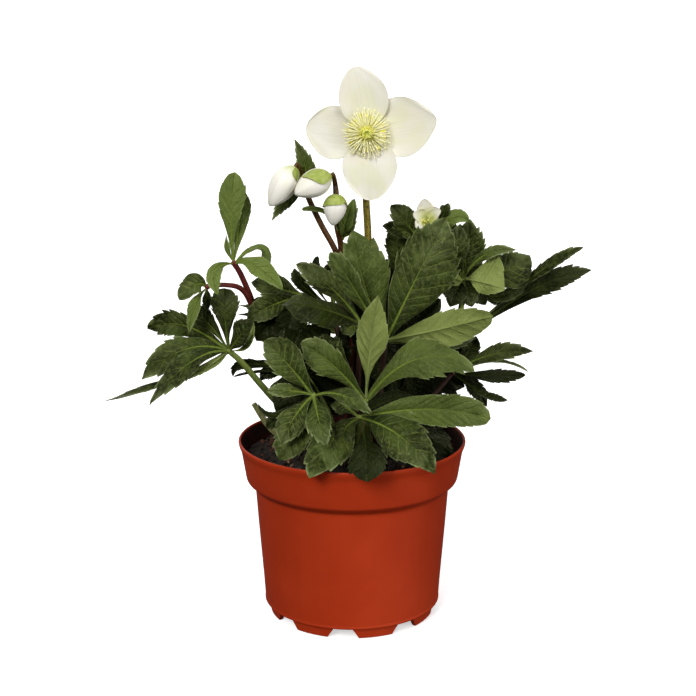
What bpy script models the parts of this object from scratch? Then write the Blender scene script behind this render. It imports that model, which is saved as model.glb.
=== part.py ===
"""A christmas rose growing in a plastic nursery pot.

Metres, +Z up. The origin is the middle of the pot's foot ring, on the surface that the pot stands on, and the
plant's open bloom faces -Y. Sizes and places are written in millimetres and turned into metres by MM.
"""

import math

import bmesh
import bpy
from mathutils import Matrix, Vector

MM = 0.001
GAP = 0.3

# The pot
RIM_RADIUS = 65.0
POT_HEIGHT = 103.0
FOOT_HEIGHT = 6.2
FLOOR_TOP = 8.2
FOOT_RADIUS = 47.7
FOOT_THICKNESS = 2.7
FEET = 8
NOTCH_TOP_DEGREES = 12.0
NOTCH_FOOT_DEGREES = 21.8
NOTCH_MIDDLE_DEGREES = -6.0
DRAIN_RADIUS = 4.0
DRAIN_CIRCLE = 33.0
POT_SIDES = 36

# The soil and what stands in it
SOIL_TOP = 93.0
HOLE_DEPTH = 9.0
HOLE_CLEARANCE = 0.35
STALK_RADIUS = 1.5
STALK_FOOT_RADIUS = 2.1
ROD_SIDES = 6
KNOB_RADIUS = 2.3
HUB_OFFSET = 1.3
BRACT_KNOB_RADIUS = 1.4

# The blades
BLADE_THICKNESS = 0.9
TEPAL_THICKNESS = 1.0

# A spot of the plant is (across, height, back). It lies on the line from the eye through the point of the
# upright plane y = 0 that is so far across and so high, and it is so far behind that plane, or before it.
EYE = Vector((0.0, -815.8, 354.6))

# Which way a blade's upper side looks
UP = (0.0, 0.0, 1.0)
FRONT = (0.0, -1.0, 0.2)
FRONT_UP = (0.0, -0.75, 0.65)
UP_FRONT = (0.0, -0.35, 0.95)
LEFT_FRONT = (-0.35, -0.9, 0.3)
LEFT_UP = (-0.5, -0.3, 0.8)
RIGHT_FRONT = (0.35, -0.9, 0.3)
BACK = (0.0, 1.0, 0.25)
BACK_UP = (0.0, 0.6, 0.8)
BACK_LEFT_UP = (-0.45, 0.5, 0.75)
BACK_RIGHT_UP = (0.45, 0.5, 0.75)

# Each leaf: where its stalk stands in the soil (x, y), the spots its stalk passes, its hub, and its
# leaflets, each with the spot at the middle of its rib, its tip, its width and its facing.
LEAVES = {
    "01": {
        "root": (-15, 13),
        "stalk": [(-26, 120, 14), (-44, 156, 18), (-54, 176, 14), (-59, 188, 8), (-63, 199, 4)],
        "hub": (-67, 205, 2),
        "outline": "spoon",
        "colour": "young leaf",
        "stalk_colour": "red stalk",
        "leaflets": [
            ((-66, 232, 3), (-64, 255, 6), 15, FRONT),
            ((-60, 226, 9), (-58, 244, 13), 10, RIGHT_FRONT),
            ((-54, 207, -4), (-39, 191, -8), 12, FRONT_UP),
            ((-52, 215, 8), (-46, 203, 8), 6, UP_FRONT),
            ((-76.5, 199, -13), (-75, 186, -21), 8, FRONT),
            ((-70, 212, 8), (-70, 222, 12), 4, LEFT_UP),
        ],
    },
    "02": {
        "root": (-19, 5),
        "stalk": [(-28, 120, 6), (-46, 158, 10), (-54, 176, 8), (-61, 189, 2), (-71, 192, -6)],
        "hub": (-81, 191, -12),
        "colour": "young leaf",
        "stalk_colour": "red stalk",
        "leaflets": [
            ((-89, 193, -14), (-97, 183, -16), 10, UP_FRONT),
            ((-89, 181, -18), (-91, 164, -20), 8, LEFT_FRONT),
            ((-87, 193, -4), (-90, 184, 2), 9, UP),
        ],
    },
    "03": {
        "root": (-14, -4),
        "stalk": [(-41, 122, -8), (-51, 134, -12), (-63, 148, -16)],
        "hub": (-70, 155, -18),
        "colour": "leaf",
        "stalk_colour": "green stalk",
        "leaflets": [
            ((-73, 173, -12), (-71, 190, -6), 14, FRONT),
            ((-79, 168, -8), (-86, 179, -2), 14, LEFT_FRONT),
            ((-93, 168, 0), (-115, 169, 10), 15, LEFT_FRONT),
            ((-96, 160, -20), (-120, 143, -24), 17, FRONT_UP),
            ((-92, 151, -30), (-115, 123, -38), 14, FRONT_UP),
            ((-83, 147, -20), (-97, 137, -22), 6, UP),
            ((-108, 134, -16), (-141, 125, -12), 11, UP_FRONT),
            ((-61, 164, -24), (-54, 173, -24), 13, LEFT_FRONT),
        ],
    },
    "04": {
        "root": (-10, 19),
        "stalk": [(-18, 130, 20), (-26, 165, 18)],
        "hub": (-27, 186, 12),
        "colour": "leaf",
        "stalk_colour": "green stalk",
        "leaflets": [
            ((-42, 191, 14), (-56, 195, 16), 14, FRONT_UP),
            ((-38, 196, 20), (-50, 200, 26), 11, FRONT_UP),
            ((-45, 180, 3), (-59, 174, -1), 15, FRONT),
            ((-40, 172, 3), (-52, 163, -2), 16, FRONT),
            ((-33, 172, 6), (-40, 159, 2), 16, FRONT),
        ],
    },
    "05": {
        "root": (1, -8),
        "stalk": [(3, 130, -10)],
        "hub": (6, 169, -14),
        "colour": "leaf",
        "stalk_colour": "red stalk",
        "leaflets": [
            ((-11, 191, -7), (-31, 204, -4), 15, FRONT_UP),
            ((-19, 176, -20), (-39, 177, -24), 23, FRONT_UP),
            ((-1, 166, -18), (-5, 163, -21), 9, FRONT),
        ],
    },
    "06": {
        "root": (13, -6),
        "stalk": [(16, 130, -5)],
        "hub": (19, 160, -4),
        "outline": "spoon",
        "colour": "leaf",
        "stalk_colour": "red stalk",
        "leaflets": [
            ((4, 187, -16), (-12, 211, -14), 14, LEFT_FRONT),
            ((9, 192, 0), (2, 223, 6), 23, FRONT),
            ((34, 196, 0), (51, 229, 10), 30, FRONT),
            ((47, 165, -12), (78, 178, -14), 20, FRONT_UP),
            ((46, 164, -2), (71, 156, 0), 15, UP_FRONT),
        ],
    },
    "07": {
        "root": (9, -13),
        "stalk": [(9, 112, -20)],
        "hub": (8, 125, -28),
        "colour": "leaf",
        "stalk_colour": "green stalk",
        "leaflets": [
            ((38, 149, -34), (70, 142, -26), 22, FRONT_UP),
            ((12, 160, -32), (14, 185, -32), 17, BACK),
            ((-11, 146, -32), (-29, 159, -28), 15, LEFT_FRONT),
            ((-9, 151, -24), (-13, 166, -20), 13, FRONT),
        ],
    },
    "08": {
        "root": (-9, -14),
        "stalk": [(-17, 114, -30)],
        "hub": (-22, 128, -44),
        "colour": "leaf",
        "stalk_colour": "green stalk",
        "leaflets": [
            ((-36, 145, -46), (-47, 159, -42), 16, LEFT_FRONT),
            ((-34, 130, -46), (-46, 129, -44), 9, FRONT_UP),
            ((-33, 115, -56), (-39, 100, -58), 15, LEFT_FRONT),
            ((-18, 114, -60), (-16, 98, -66), 13, FRONT),
            ((-31, 107, -50), (-40, 89, -52), 16, FRONT_UP),
            ((-4, 128, -54), (11, 117, -52), 10, FRONT_UP),
        ],
    },
    "09": {
        "root": (1, -22),
        "stalk": [],
        "hub": (4, 115, -38),
        "colour": "leaf",
        "stalk_colour": "green stalk",
        "leaflets": [
            ((-11, 104, -52), (-24, 80, -73), 20, FRONT_UP),
            ((28, 104, -56), (47, 82, -69), 22, FRONT_UP),
            ((45, 123, -38), (80, 113, -26), 19, UP_FRONT),
            ((-5, 121, -38), (-13, 122, -36), 9, FRONT_UP),
            ((7, 96, -60), (10, 75, -79), 19, FRONT_UP),
            ((30, 106, -36), (51, 92, -30), 17, FRONT_UP),
        ],
    },
    "10": {
        "root": (20, 8),
        "stalk": [(44, 140, 19), (60, 174, 20)],
        "hub": (62, 195, 20),
        "colour": "leaf",
        "stalk_colour": "green stalk",
        "leaflets": [
            ((75, 199, 13), (87, 191, 12), 18, BACK),
            ((77, 209, 20), (92, 212, 22), 9, FRONT_UP),
            ((87, 200, 30), (101, 208, 34), 20, FRONT),
            ((62, 213, 26), (67, 228, 28), 15, FRONT),
            ((53, 209, 24), (51, 222, 28), 16, FRONT),
            ((54, 200, 15), (46, 201, 12), 12, FRONT_UP),
            ((84, 187, 24), (102, 194, 26), 11, FRONT_UP),
        ],
    },
    "11": {
        "root": (22, 16),
        "stalk": [(38, 126, 22), (54, 150, 26)],
        "hub": (64, 163, 27),
        "colour": "leaf",
        "stalk_colour": "green stalk",
        "leaflets": [
            ((102, 197, 34), (129, 212, 38), 8, FRONT_UP),
            ((102, 188, 38), (133, 199, 42), 13, FRONT),
        ],
    },
    "12": {
        "root": (20, -8),
        "stalk": [(36, 114, -10), (48, 130, -8)],
        "hub": (57, 141, -5),
        "colour": "leaf",
        "stalk_colour": "red stalk",
        "leaflets": [
            ((79, 152, -2), (103, 155, 4), 12, FRONT_UP),
            ((82, 149, 5), (101, 142, 10), 6, UP_FRONT),
            ((77, 144, -9), (97, 140, -8), 12, FRONT_UP),
            ((68, 133, -3), (78, 121, -2), 10, FRONT_UP),
            ((73, 130, -12), (89, 126, -14), 9, FRONT_UP),
        ],
    },
    "13": {
        "root": (9, 14),
        "stalk": [(16, 150, 24)],
        "hub": (28, 188, 34),
        "outline": "plain",
        "colour": "leaf",
        "stalk_colour": "green stalk",
        "leaflets": [
            ((23, 206, 32), (21, 224, 34), 14, FRONT),
            ((46, 208, 38), (60, 224, 44), 17, FRONT),
            ((42, 190, 50), (58, 196, 66), 16, BACK_RIGHT_UP),
            ((26, 200, 50), (24, 206, 66), 15, BACK_UP),
        ],
    },
    "14": {
        "root": (-2, 22),
        "stalk": [(-6, 150, 32)],
        "hub": (-10, 178, 40),
        "outline": "plain",
        "colour": "leaf",
        "stalk_colour": "green stalk",
        "leaflets": [
            ((-16, 196, 40), (-18, 208, 44), 8, FRONT),
            ((-24, 192, 34), (-32, 201, 36), 8, FRONT),
            ((-24, 186, 46), (-29, 195, 52), 11, BACK_LEFT_UP),
            ((-12, 192, 54), (-10, 200, 68), 15, BACK_UP),
            ((-24, 178, 56), (-36, 178, 70), 15, BACK_LEFT_UP),
        ],
    },
    "15": {
        "root": (7, 24),
        "stalk": [(6, 135, 46)],
        "hub": (6, 158, 60),
        "outline": "plain",
        "colour": "leaf",
        "stalk_colour": "green stalk",
        "leaflets": [
            ((-12, 166, 65), (-30, 162, 70), 17, BACK_UP),
            ((-4, 174, 70), (-12, 180, 78), 18, BACK_UP),
            ((10, 170, 71), (12, 164, 79), 20, BACK_UP),
            ((22, 172, 69), (34, 176, 76), 18, BACK_UP),
            ((24, 162, 65), (42, 156, 70), 17, BACK_UP),
        ],
    },
    "16": {
        "root": (-17, 21),
        "stalk": [(-26, 122, 38)],
        "hub": (-32, 146, 50),
        "outline": "plain",
        "colour": "leaf",
        "stalk_colour": "green stalk",
        "leaflets": [
            ((-40, 166, 50), (-46, 182, 54), 15, BACK_LEFT_UP),
            ((-42, 156, 60), (-52, 166, 70), 16, BACK_LEFT_UP),
            ((-34, 150, 65), (-38, 146, 78), 17, BACK_UP),
            ((-22, 146, 62), (-18, 138, 74), 15, BACK_UP),
            ((-38, 136, 57), (-42, 122, 64), 14, BACK_LEFT_UP),
        ],
    },
    "17": {
        "root": (19, 24),
        "stalk": [(30, 122, 40)],
        "hub": (38, 144, 52),
        "outline": "plain",
        "colour": "leaf",
        "stalk_colour": "green stalk",
        "leaflets": [
            ((50, 162, 54), (62, 174, 58), 15, BACK_RIGHT_UP),
            ((52, 150, 61), (68, 152, 70), 16, BACK_RIGHT_UP),
            ((44, 148, 66), (48, 142, 79), 17, BACK_UP),
            ((32, 142, 63), (28, 130, 75), 15, BACK_UP),
            ((48, 136, 57), (60, 124, 62), 14, BACK_RIGHT_UP),
        ],
    },
    "18": {
        "root": (2, 32),
        "stalk": [],
        "hub": (2, 126, 56),
        "outline": "plain",
        "colour": "leaf",
        "stalk_colour": "green stalk",
        "leaflets": [
            ((-14, 129, 63), (-30, 118, 71), 16, BACK_UP),
            ((-4, 130, 69), (-8, 114, 79), 18, BACK_UP),
            ((12, 130, 68), (18, 116, 78), 17, BACK_UP),
            ((22, 128, 63), (38, 118, 69), 15, BACK_UP),
        ],
    },
    "19": {
        "root": (-8, -6),
        "stalk": [(-13, 116, -6)],
        "hub": (-26, 140, -8),
        "outline": "plain",
        "colour": "leaf",
        "stalk_colour": "green stalk",
        "leaflets": [
            ((-44, 148, -4), (-61, 148, -2), 8, UP),
            ((-47, 144, -8), (-67, 138, -8), 8, UP),
            ((-33, 153, -7), (-38, 166, -5), 15, FRONT),
            ((-22, 156, -7), (-16, 170, -7), 15, FRONT),
            ((-13, 147, -11), (0, 154, -13), 14, FRONT),
            ((-32, 126, -17), (-36, 113, -21), 13, FRONT),
        ],
    },
    "20": {
        "root": (14, 1),
        "stalk": [(20, 121, 8)],
        "hub": (30, 147, 9),
        "outline": "plain",
        "colour": "leaf",
        "stalk_colour": "green stalk",
        "leaflets": [
            ((25, 168, 8), (21, 190, 8), 20, FRONT),
            ((42, 166, 8), (52, 184, 9), 20, FRONT),
            ((50, 153, 7), (68, 160, 8), 16, FRONT),
            ((44, 138, 4), (58, 128, 2), 15, FRONT_UP),
            ((37, 131, -1), (38, 113, -5), 16, FRONT),
            ((18, 146, 3), (7, 141, 1), 13, FRONT),
        ],
    },
}

# The flower stems: where each stands in the soil, the spots it passes, and the bud or the spot it ends at. A
# branch leaves its stem at its first spot.
STEMS = {
    "stem_bloom": {
        "root": (5, 4),
        "radius": 1.7,
        "path": [(8, 150, 13), (10, 212, 15), (9, 240, 13), (8, 266, 12)],
        "head": (8, 275.5, 7.1),
    },
    "stem_left_bud": {
        "root": (-7, 3),
        "radius": 1.5,
        "path": [(0, 150, 7), (-3, 193, 10), (-9, 211, 10), (-17, 226, 9), (-24, 241, 8), (-27, 252, 7)],
        "bud": "bud_left",
    },
    "stem_middle_buds": {
        "root": (-2, 11),
        "radius": 1.5,
        "path": [(-5, 170, 18), (-6, 211, 15), (-8, 226, 11), (-8, 246, 6)],
        "bud": "bud_middle",
        "branch": [(-8, 232, 10), (-7.5, 242, 6), (-7.6, 247.5, 2)],
        "branch_bud": "bud_nodding",
    },
    "stem_half_open": {
        "root": (12, 8),
        "radius": 1.5,
        "path": [(22, 150, 16), (34, 195, 26), (40, 214, 29), (41.5, 221, 27.5)],
        "head": (42, 225, 22.8),
    },
}


def spot(across, height, back):
    """The place in space of a spot, in metres."""
    on_plane = Vector((across, 0.0, height))
    reach = 1.0 - back / EYE.y
    return (EYE + (on_plane - EYE) * reach) * MM


def clear_scene():
    """Take everything out of the scene."""
    for obj in list(bpy.data.objects):
        bpy.data.objects.remove(obj, do_unlink=True)


def make_collection(name):
    """A new collection of the scene."""
    collection = bpy.data.collections.new(name)
    bpy.context.scene.collection.children.link(collection)
    return collection


def make_material(name, colour, roughness):
    """A plain coloured finish."""
    material = bpy.data.materials.new(name)
    material.use_nodes = True
    shader = material.node_tree.nodes["Principled BSDF"]
    shader.inputs["Base Color"].default_value = (*colour, 1.0)
    shader.inputs["Roughness"].default_value = roughness
    shader.inputs["Metallic"].default_value = 0.0
    return material


def make_materials():
    """Every finish of the part, by name."""
    return {
        "pot plastic": make_material("pot plastic", (0.33, 0.035, 0.012), 0.45),
        "soil": make_material("soil", (0.012, 0.008, 0.006), 0.95),
        "leaf": make_material("leaf", (0.035, 0.07, 0.018), 0.5),
        "young leaf": make_material("young leaf", (0.11, 0.19, 0.045), 0.5),
        "green stalk": make_material("green stalk", (0.16, 0.22, 0.06), 0.5),
        "red stalk": make_material("red stalk", (0.16, 0.03, 0.025), 0.5),
        "flower stem": make_material("flower stem", (0.12, 0.08, 0.03), 0.5),
        "tepal": make_material("tepal", (0.84, 0.82, 0.72), 0.5),
        "stamen": make_material("stamen", (0.8, 0.76, 0.35), 0.6),
        "lime": make_material("lime", (0.45, 0.52, 0.1), 0.5),
        "dry stalk": make_material("dry stalk", (0.2, 0.2, 0.07), 0.8),
    }


def new_object(name, mesh, collection):
    """An object for a mesh, in a collection."""
    obj = bpy.data.objects.new(name, mesh)
    collection.objects.link(obj)
    return obj


def mesh_object(name, bm, collection):
    """An object from a bmesh, which is freed."""
    mesh = bpy.data.meshes.new(name)
    bm.to_mesh(mesh)
    bm.free()
    return new_object(name, mesh, collection)


def made_solid(obj, collection):
    """The object with its modifiers or bevel made into a plain mesh, and the first object removed."""
    graph = bpy.context.evaluated_depsgraph_get()
    mesh = bpy.data.meshes.new_from_object(obj.evaluated_get(graph))
    bm = bmesh.new()
    bm.from_mesh(mesh)
    bmesh.ops.remove_doubles(bm, verts=bm.verts, dist=0.000001)
    bm.to_mesh(mesh)
    bm.free()
    name, place = obj.name, obj.matrix_world.copy()
    bpy.data.objects.remove(obj, do_unlink=True)
    solid = new_object(name, mesh, collection)
    solid.matrix_world = place
    return solid


def fuse(name, pieces, collection, material):
    """One body from overlapping pieces, by one union on a collection."""
    base = pieces[0]
    base.name = name
    rest = make_collection(name + " pieces")
    for piece in pieces[1:]:
        for holder in list(piece.users_collection):
            holder.objects.unlink(piece)
        rest.objects.link(piece)
    if len(pieces) > 1:
        join = base.modifiers.new("Join", "BOOLEAN")
        join.operation = "UNION"
        join.operand_type = "COLLECTION"
        join.collection = rest
        join.solver = "MANIFOLD"
        bpy.context.view_layer.update()
    body = made_solid(base, collection)
    for piece in list(rest.objects):
        bpy.data.objects.remove(piece, do_unlink=True)
    bpy.data.collections.remove(rest)
    body.name = name
    body.data.materials.clear()
    body.data.materials.append(material)
    return body


def bend(start, middle, end, s):
    """A point of the curve that starts at start, passes middle at s = 0.5 and ends at end."""
    pull = middle * 2.0 - (start + end) * 0.5
    return start * (1.0 - s) ** 2 + pull * (2.0 * s * (1.0 - s)) + end * s**2


def bend_way(start, middle, end, s):
    """The curve's direction there."""
    pull = middle * 2.0 - (start + end) * 0.5
    return ((pull - start) * (1.0 - s) + (end - pull) * s).normalized()


# Outline of a leaflet: how far along each edge point lies, and its share of the full half width. The outer
# half is cut into teeth, which are larger and fewer than the real ones.
LEAFLET_EDGE = [(0.0, 0.09), (0.25, 0.52), (0.5, 1.0), (0.59, 0.86), (0.73, 0.9), (0.8, 0.66)]
SPOON_EDGE = [(0.0, 0.12), (0.26, 0.3), (0.54, 0.8), (0.74, 1.0), (0.8, 0.86), (0.93, 0.62)]
PLAIN_EDGE = [(0.0, 0.1), (0.3, 0.66), (0.55, 1.0), (0.63, 0.84), (0.82, 0.72)]
LEAFLET_RIB = [0.0, 0.4]
LEAFLET_FOLD = 0.16
OUTLINES = {"pointed": LEAFLET_EDGE, "spoon": SPOON_EDGE, "plain": PLAIN_EDGE}


def zip_strip(bm, ribs, edges, flip):
    """Triangles between two rows of (share along, vertex) that start and end at shared places."""
    i, j = 0, 0
    while i < len(ribs) - 1 or j < len(edges) - 1:
        take_rib = j == len(edges) - 1 or (i < len(ribs) - 1 and ribs[i + 1][0] <= edges[j + 1][0])
        corner = ribs[i + 1] if take_rib else edges[j + 1]
        corners = [ribs[i][1], edges[j][1], corner[1]]
        if len({id(c) for c in corners}) == 3:
            bm.faces.new(reversed(corners) if flip else corners)
        if take_rib:
            i += 1
        else:
            j += 1


def leaflet(start, middle, end, width, face, outline, collection):
    """One blade, folded a little along its rib, as a closed solid."""
    bm = bmesh.new()
    facing = Vector(face)

    def place(s, across, lift):
        way = bend_way(start, middle, end, s)
        upward = (facing - way * facing.dot(way)).normalized()
        side = way.cross(upward)
        return bend(start, middle, end, s) + side * across + upward * lift

    tip = bm.verts.new(place(1.0, 0.0, 0.0))
    ribs = [(s, bm.verts.new(place(s, 0.0, 0.0))) for s in LEAFLET_RIB] + [(1.0, tip)]
    for hand in (-1.0, 1.0):
        edges = []
        for s, share in outline:
            half = 0.5 * width * MM * share
            edges.append((s, bm.verts.new(place(s, hand * half, LEAFLET_FOLD * half))))
        edges.append((1.0, tip))
        zip_strip(bm, ribs, edges, hand < 0.0)
    bmesh.ops.recalc_face_normals(bm, faces=bm.faces)
    blade = mesh_object("leaflet", bm, collection)
    shell = blade.modifiers.new("Thickness", "SOLIDIFY")
    shell.thickness = BLADE_THICKNESS * MM
    shell.offset = 0.0
    bpy.context.view_layer.update()
    return made_solid(blade, collection)


def knob(centre, radius, collection):
    """The small swelling where leaflets meet."""
    bm = bmesh.new()
    bmesh.ops.create_uvsphere(bm, u_segments=5, v_segments=3, radius=radius * MM,
                              matrix=Matrix.Translation(centre))
    return mesh_object("knob", bm, collection)


def make_leaf(key, plan, collection, materials):
    """A leaf's leaflets, grown together at the hub."""
    hub = spot(*plan["hub"])
    outline = OUTLINES[plan.get("outline", "pointed")]
    pieces = [knob(hub, KNOB_RADIUS, collection)]
    for middle, tip, width, face in plan["leaflets"]:
        start = hub + (spot(*middle) - hub).normalized() * HUB_OFFSET * MM
        pieces.append(leaflet(start, spot(*middle), spot(*tip), width, face, outline, collection))
    return fuse("leaf_" + key, pieces, collection, materials[plan["colour"]])


def smooth_path(points, steps):
    """Points along a smooth curve through the given ones, with so many steps between each two."""
    path = []
    last = len(points) - 1
    for i in range(last):
        before, a, b, after = points[max(i - 1, 0)], points[i], points[i + 1], points[min(i + 2, last)]
        for k in range(steps):
            t = k / steps
            path.append(0.5 * (2.0 * a + (b - before) * t + (2.0 * before - 5.0 * a + 4.0 * b - after) * t**2
                               + (3.0 * a - before - 3.0 * b + after) * t**3))
    path.append(points[last])
    return path


def tube(name, path, radii, sides, collection):
    """A solid rod along a path, with a radius in millimetres at each point."""
    bm = bmesh.new()
    last = len(path) - 1
    side = (path[1] - path[0]).orthogonal()
    rings = []
    for i, (place, radius) in enumerate(zip(path, radii)):
        way = (path[min(i + 1, last)] - path[max(i - 1, 0)]).normalized()
        side = (side - way * side.dot(way)).normalized()
        other = way.cross(side)
        ring = []
        for k in range(sides):
            turn = 2.0 * math.pi * k / sides
            ring.append(bm.verts.new(place + (side * math.cos(turn) + other * math.sin(turn)) * radius * MM))
        rings.append(ring)
    for low, high in zip(rings, rings[1:]):
        for k in range(sides):
            n = (k + 1) % sides
            bm.faces.new((low[k], low[n], high[n], high[k]))
    bm.faces.new(reversed(rings[0]))
    bm.faces.new(rings[-1])
    bmesh.ops.triangulate(bm, faces=bm.faces)
    return mesh_object(name, bm, collection)


def rooted_path(root, passing, head, steps):
    """A path that stands upright in its hole in the soil, then passes the spots up to the head."""
    x, y = root
    foot = Vector((x, y, SOIL_TOP - HOLE_DEPTH + GAP)) * MM
    neck = Vector((x, y, SOIL_TOP + 1.0)) * MM
    return [foot] + smooth_path([neck] + [spot(*p) for p in passing] + [head], steps)


def tapering(path, foot_radius, head_radius):
    """Radii that go evenly from the foot's to the head's."""
    last = len(path) - 1
    return [foot_radius + (head_radius - foot_radius) * i / last for i in range(last + 1)]


def pulled_back(points, length):
    """The path with its last point drawn back along it by a length in millimetres."""
    end, before = points[-1], points[-2]
    return points[:-1] + [end - (end - before).normalized() * length * MM]


def make_stalk(key, plan, collection, materials):
    """A leaf's stalk, from its hole in the soil to just under the hub."""
    steps = max(1, 4 - len(plan["stalk"]))
    path = rooted_path(plan["root"], plan["stalk"], spot(*plan["hub"]), steps)
    path = pulled_back(path, KNOB_RADIUS + GAP)
    stalk = tube("stalk_" + key, path, tapering(path, STALK_FOOT_RADIUS, STALK_RADIUS), ROD_SIDES, collection)
    stalk.data.materials.append(materials[plan["stalk_colour"]])
    return stalk


def turned(name, profile, sides, collection):
    """A solid of revolution about the Z axis from (radius, height) points that run down its outer side."""
    bm = bmesh.new()
    verts = [bm.verts.new((radius * MM, 0.0, height * MM)) for radius, height in profile]
    for a, b in zip(verts, verts[1:]):
        bm.edges.new((a, b))
    obj = mesh_object(name, bm, collection)
    spin = obj.modifiers.new("Turn", "SCREW")
    spin.steps = sides
    spin.render_steps = sides
    spin.use_merge_vertices = True
    spin.merge_threshold = 0.00005
    return obj


POT_INSIDE = [(0.0, FLOOR_TOP), (48.0, FLOOR_TOP), (53.9, 71.5), (58.4, 78.5), (61.4, 96.5),
              (63.5, POT_HEIGHT)]
POT_OUTSIDE = [(RIM_RADIUS, POT_HEIGHT), (64.6, 99.5), (62.8, 96.0), (60.4, 80.0), (59.7, 79.3), (58.7, 75.0),
               (55.4, 71.4), (53.4, 35.4), (50.6, 7.0), (48.4, FOOT_HEIGHT),
               (FOOT_RADIUS, 0.0), (FOOT_RADIUS - FOOT_THICKNESS, 0.0),
               (FOOT_RADIUS - FOOT_THICKNESS, FOOT_HEIGHT), (0.0, FOOT_HEIGHT)]


def notch_cutter(angle, collection):
    """A wedge that cuts the gap between two feet, narrower at its top."""
    inner, outer = FOOT_RADIUS - 2.0 * FOOT_THICKNESS, FOOT_RADIUS + FOOT_THICKNESS
    bm = bmesh.new()
    levels = [(-1.0, NOTCH_FOOT_DEGREES * 1.1), (FOOT_HEIGHT, NOTCH_TOP_DEGREES)]
    rings = []
    for height, degrees in levels:
        for radius in (inner, outer):
            half = radius * math.tan(math.radians(degrees / 2.0))
            rings.append([Vector((-half, -radius, height)) * MM, Vector((half, -radius, height)) * MM])
    bmesh.ops.convex_hull(bm, input=[bm.verts.new(corner) for ring in rings for corner in ring])
    bmesh.ops.transform(bm, matrix=Matrix.Rotation(angle, 4, "Z"), verts=bm.verts)
    return mesh_object("notch", bm, collection)


def drain_cutter(angle, collection):
    """A round hole through the floor."""
    bm = bmesh.new()
    place = Matrix.Rotation(angle, 4, "Z") @ Matrix.Translation(Vector((0.0, -DRAIN_CIRCLE, FLOOR_TOP)) * MM)
    bmesh.ops.create_cone(bm, cap_ends=True, segments=8, radius1=DRAIN_RADIUS * MM, radius2=DRAIN_RADIUS * MM,
                          depth=10.0 * MM, matrix=place)
    return mesh_object("drain", bm, collection)


def cut_with(obj, cutters, collection):
    """The object with all the cutters taken out of it, as a plain mesh; the cutters are removed."""
    group = make_collection(obj.name + " cutters")
    for cutter in cutters:
        for holder in list(cutter.users_collection):
            holder.objects.unlink(cutter)
        group.objects.link(cutter)
    cut = obj.modifiers.new("Cut", "BOOLEAN")
    cut.operation = "DIFFERENCE"
    cut.operand_type = "COLLECTION"
    cut.collection = group
    bpy.context.view_layer.update()
    body = made_solid(obj, collection)
    for cutter in list(group.objects):
        bpy.data.objects.remove(cutter, do_unlink=True)
    bpy.data.collections.remove(group)
    return body


def make_pot(collection, materials):
    """The nursery pot with its lip, collar, feet and drain holes."""
    pot = turned("pot", POT_INSIDE + POT_OUTSIDE, POT_SIDES, collection)
    cutters = []
    for i in range(FEET):
        middle = math.radians(NOTCH_MIDDLE_DEGREES + 360.0 / FEET * i)
        cutters.append(notch_cutter(middle, collection))
        cutters.append(drain_cutter(middle, collection))
    pot = cut_with(pot, cutters, collection)
    pot.data.materials.append(materials["pot plastic"])
    pot.data.shade_smooth()
    pot.data.set_sharp_from_angle(angle=math.radians(35.0))
    return pot


def inside_radius(height):
    """The pot's inner radius at a height."""
    for (low_radius, low), (high_radius, high) in zip(POT_INSIDE[1:], POT_INSIDE[2:]):
        if low <= height <= high:
            return low_radius + (high_radius - low_radius) * (height - low) / (high - low)
    return POT_INSIDE[-1][0]


def make_soil(collection, materials):
    """The soil that fills the pot, with a plain hole for each stalk and stem."""
    side = [(radius - GAP, height) for radius, height in reversed(POT_INSIDE[2:4])]
    profile = [(0.0, SOIL_TOP), (inside_radius(SOIL_TOP) - GAP, SOIL_TOP)] + side
    profile += [(POT_INSIDE[1][0] - GAP, FLOOR_TOP + GAP), (0.0, FLOOR_TOP + GAP)]
    soil = turned("soil", profile, POT_SIDES, collection)
    holes = [(plan["root"], STALK_FOOT_RADIUS) for plan in LEAVES.values()]
    holes += [(plan["root"], plan["radius"] * 1.2) for plan in STEMS.values()]
    holes.append((CUT_STALK_ROOT, STALK_FOOT_RADIUS))
    cutters = []
    for (x, y), radius in holes:
        bm = bmesh.new()
        bmesh.ops.create_cone(bm, cap_ends=True, segments=6, radius1=(radius + HOLE_CLEARANCE) * MM,
                              radius2=(radius + HOLE_CLEARANCE) * MM, depth=2.0 * HOLE_DEPTH * MM,
                              matrix=Matrix.Translation(Vector((x, y, SOIL_TOP)) * MM))
        cutters.append(mesh_object("hole", bm, collection))
    soil = cut_with(soil, cutters, collection)
    soil.data.materials.append(materials["soil"])
    return soil


# Outline of a tepal, from its narrow base to its round tip: share along, share of the half width
TEPAL_ROWS = [(0.0, 0.22), (0.2, 0.62), (0.4, 0.96), (0.56, 1.0), (0.74, 0.85), (0.9, 0.54), (1.0, 0.18)]
SMALL_TEPAL_ROWS = [(0.0, 0.3), (0.5, 1.0), (1.0, 0.4)]
TEPAL_COLUMNS = (-1.0, -0.5, 0.0, 0.5, 1.0)
SMALL_TEPAL_COLUMNS = (-1.0, 0.0, 1.0)


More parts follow.
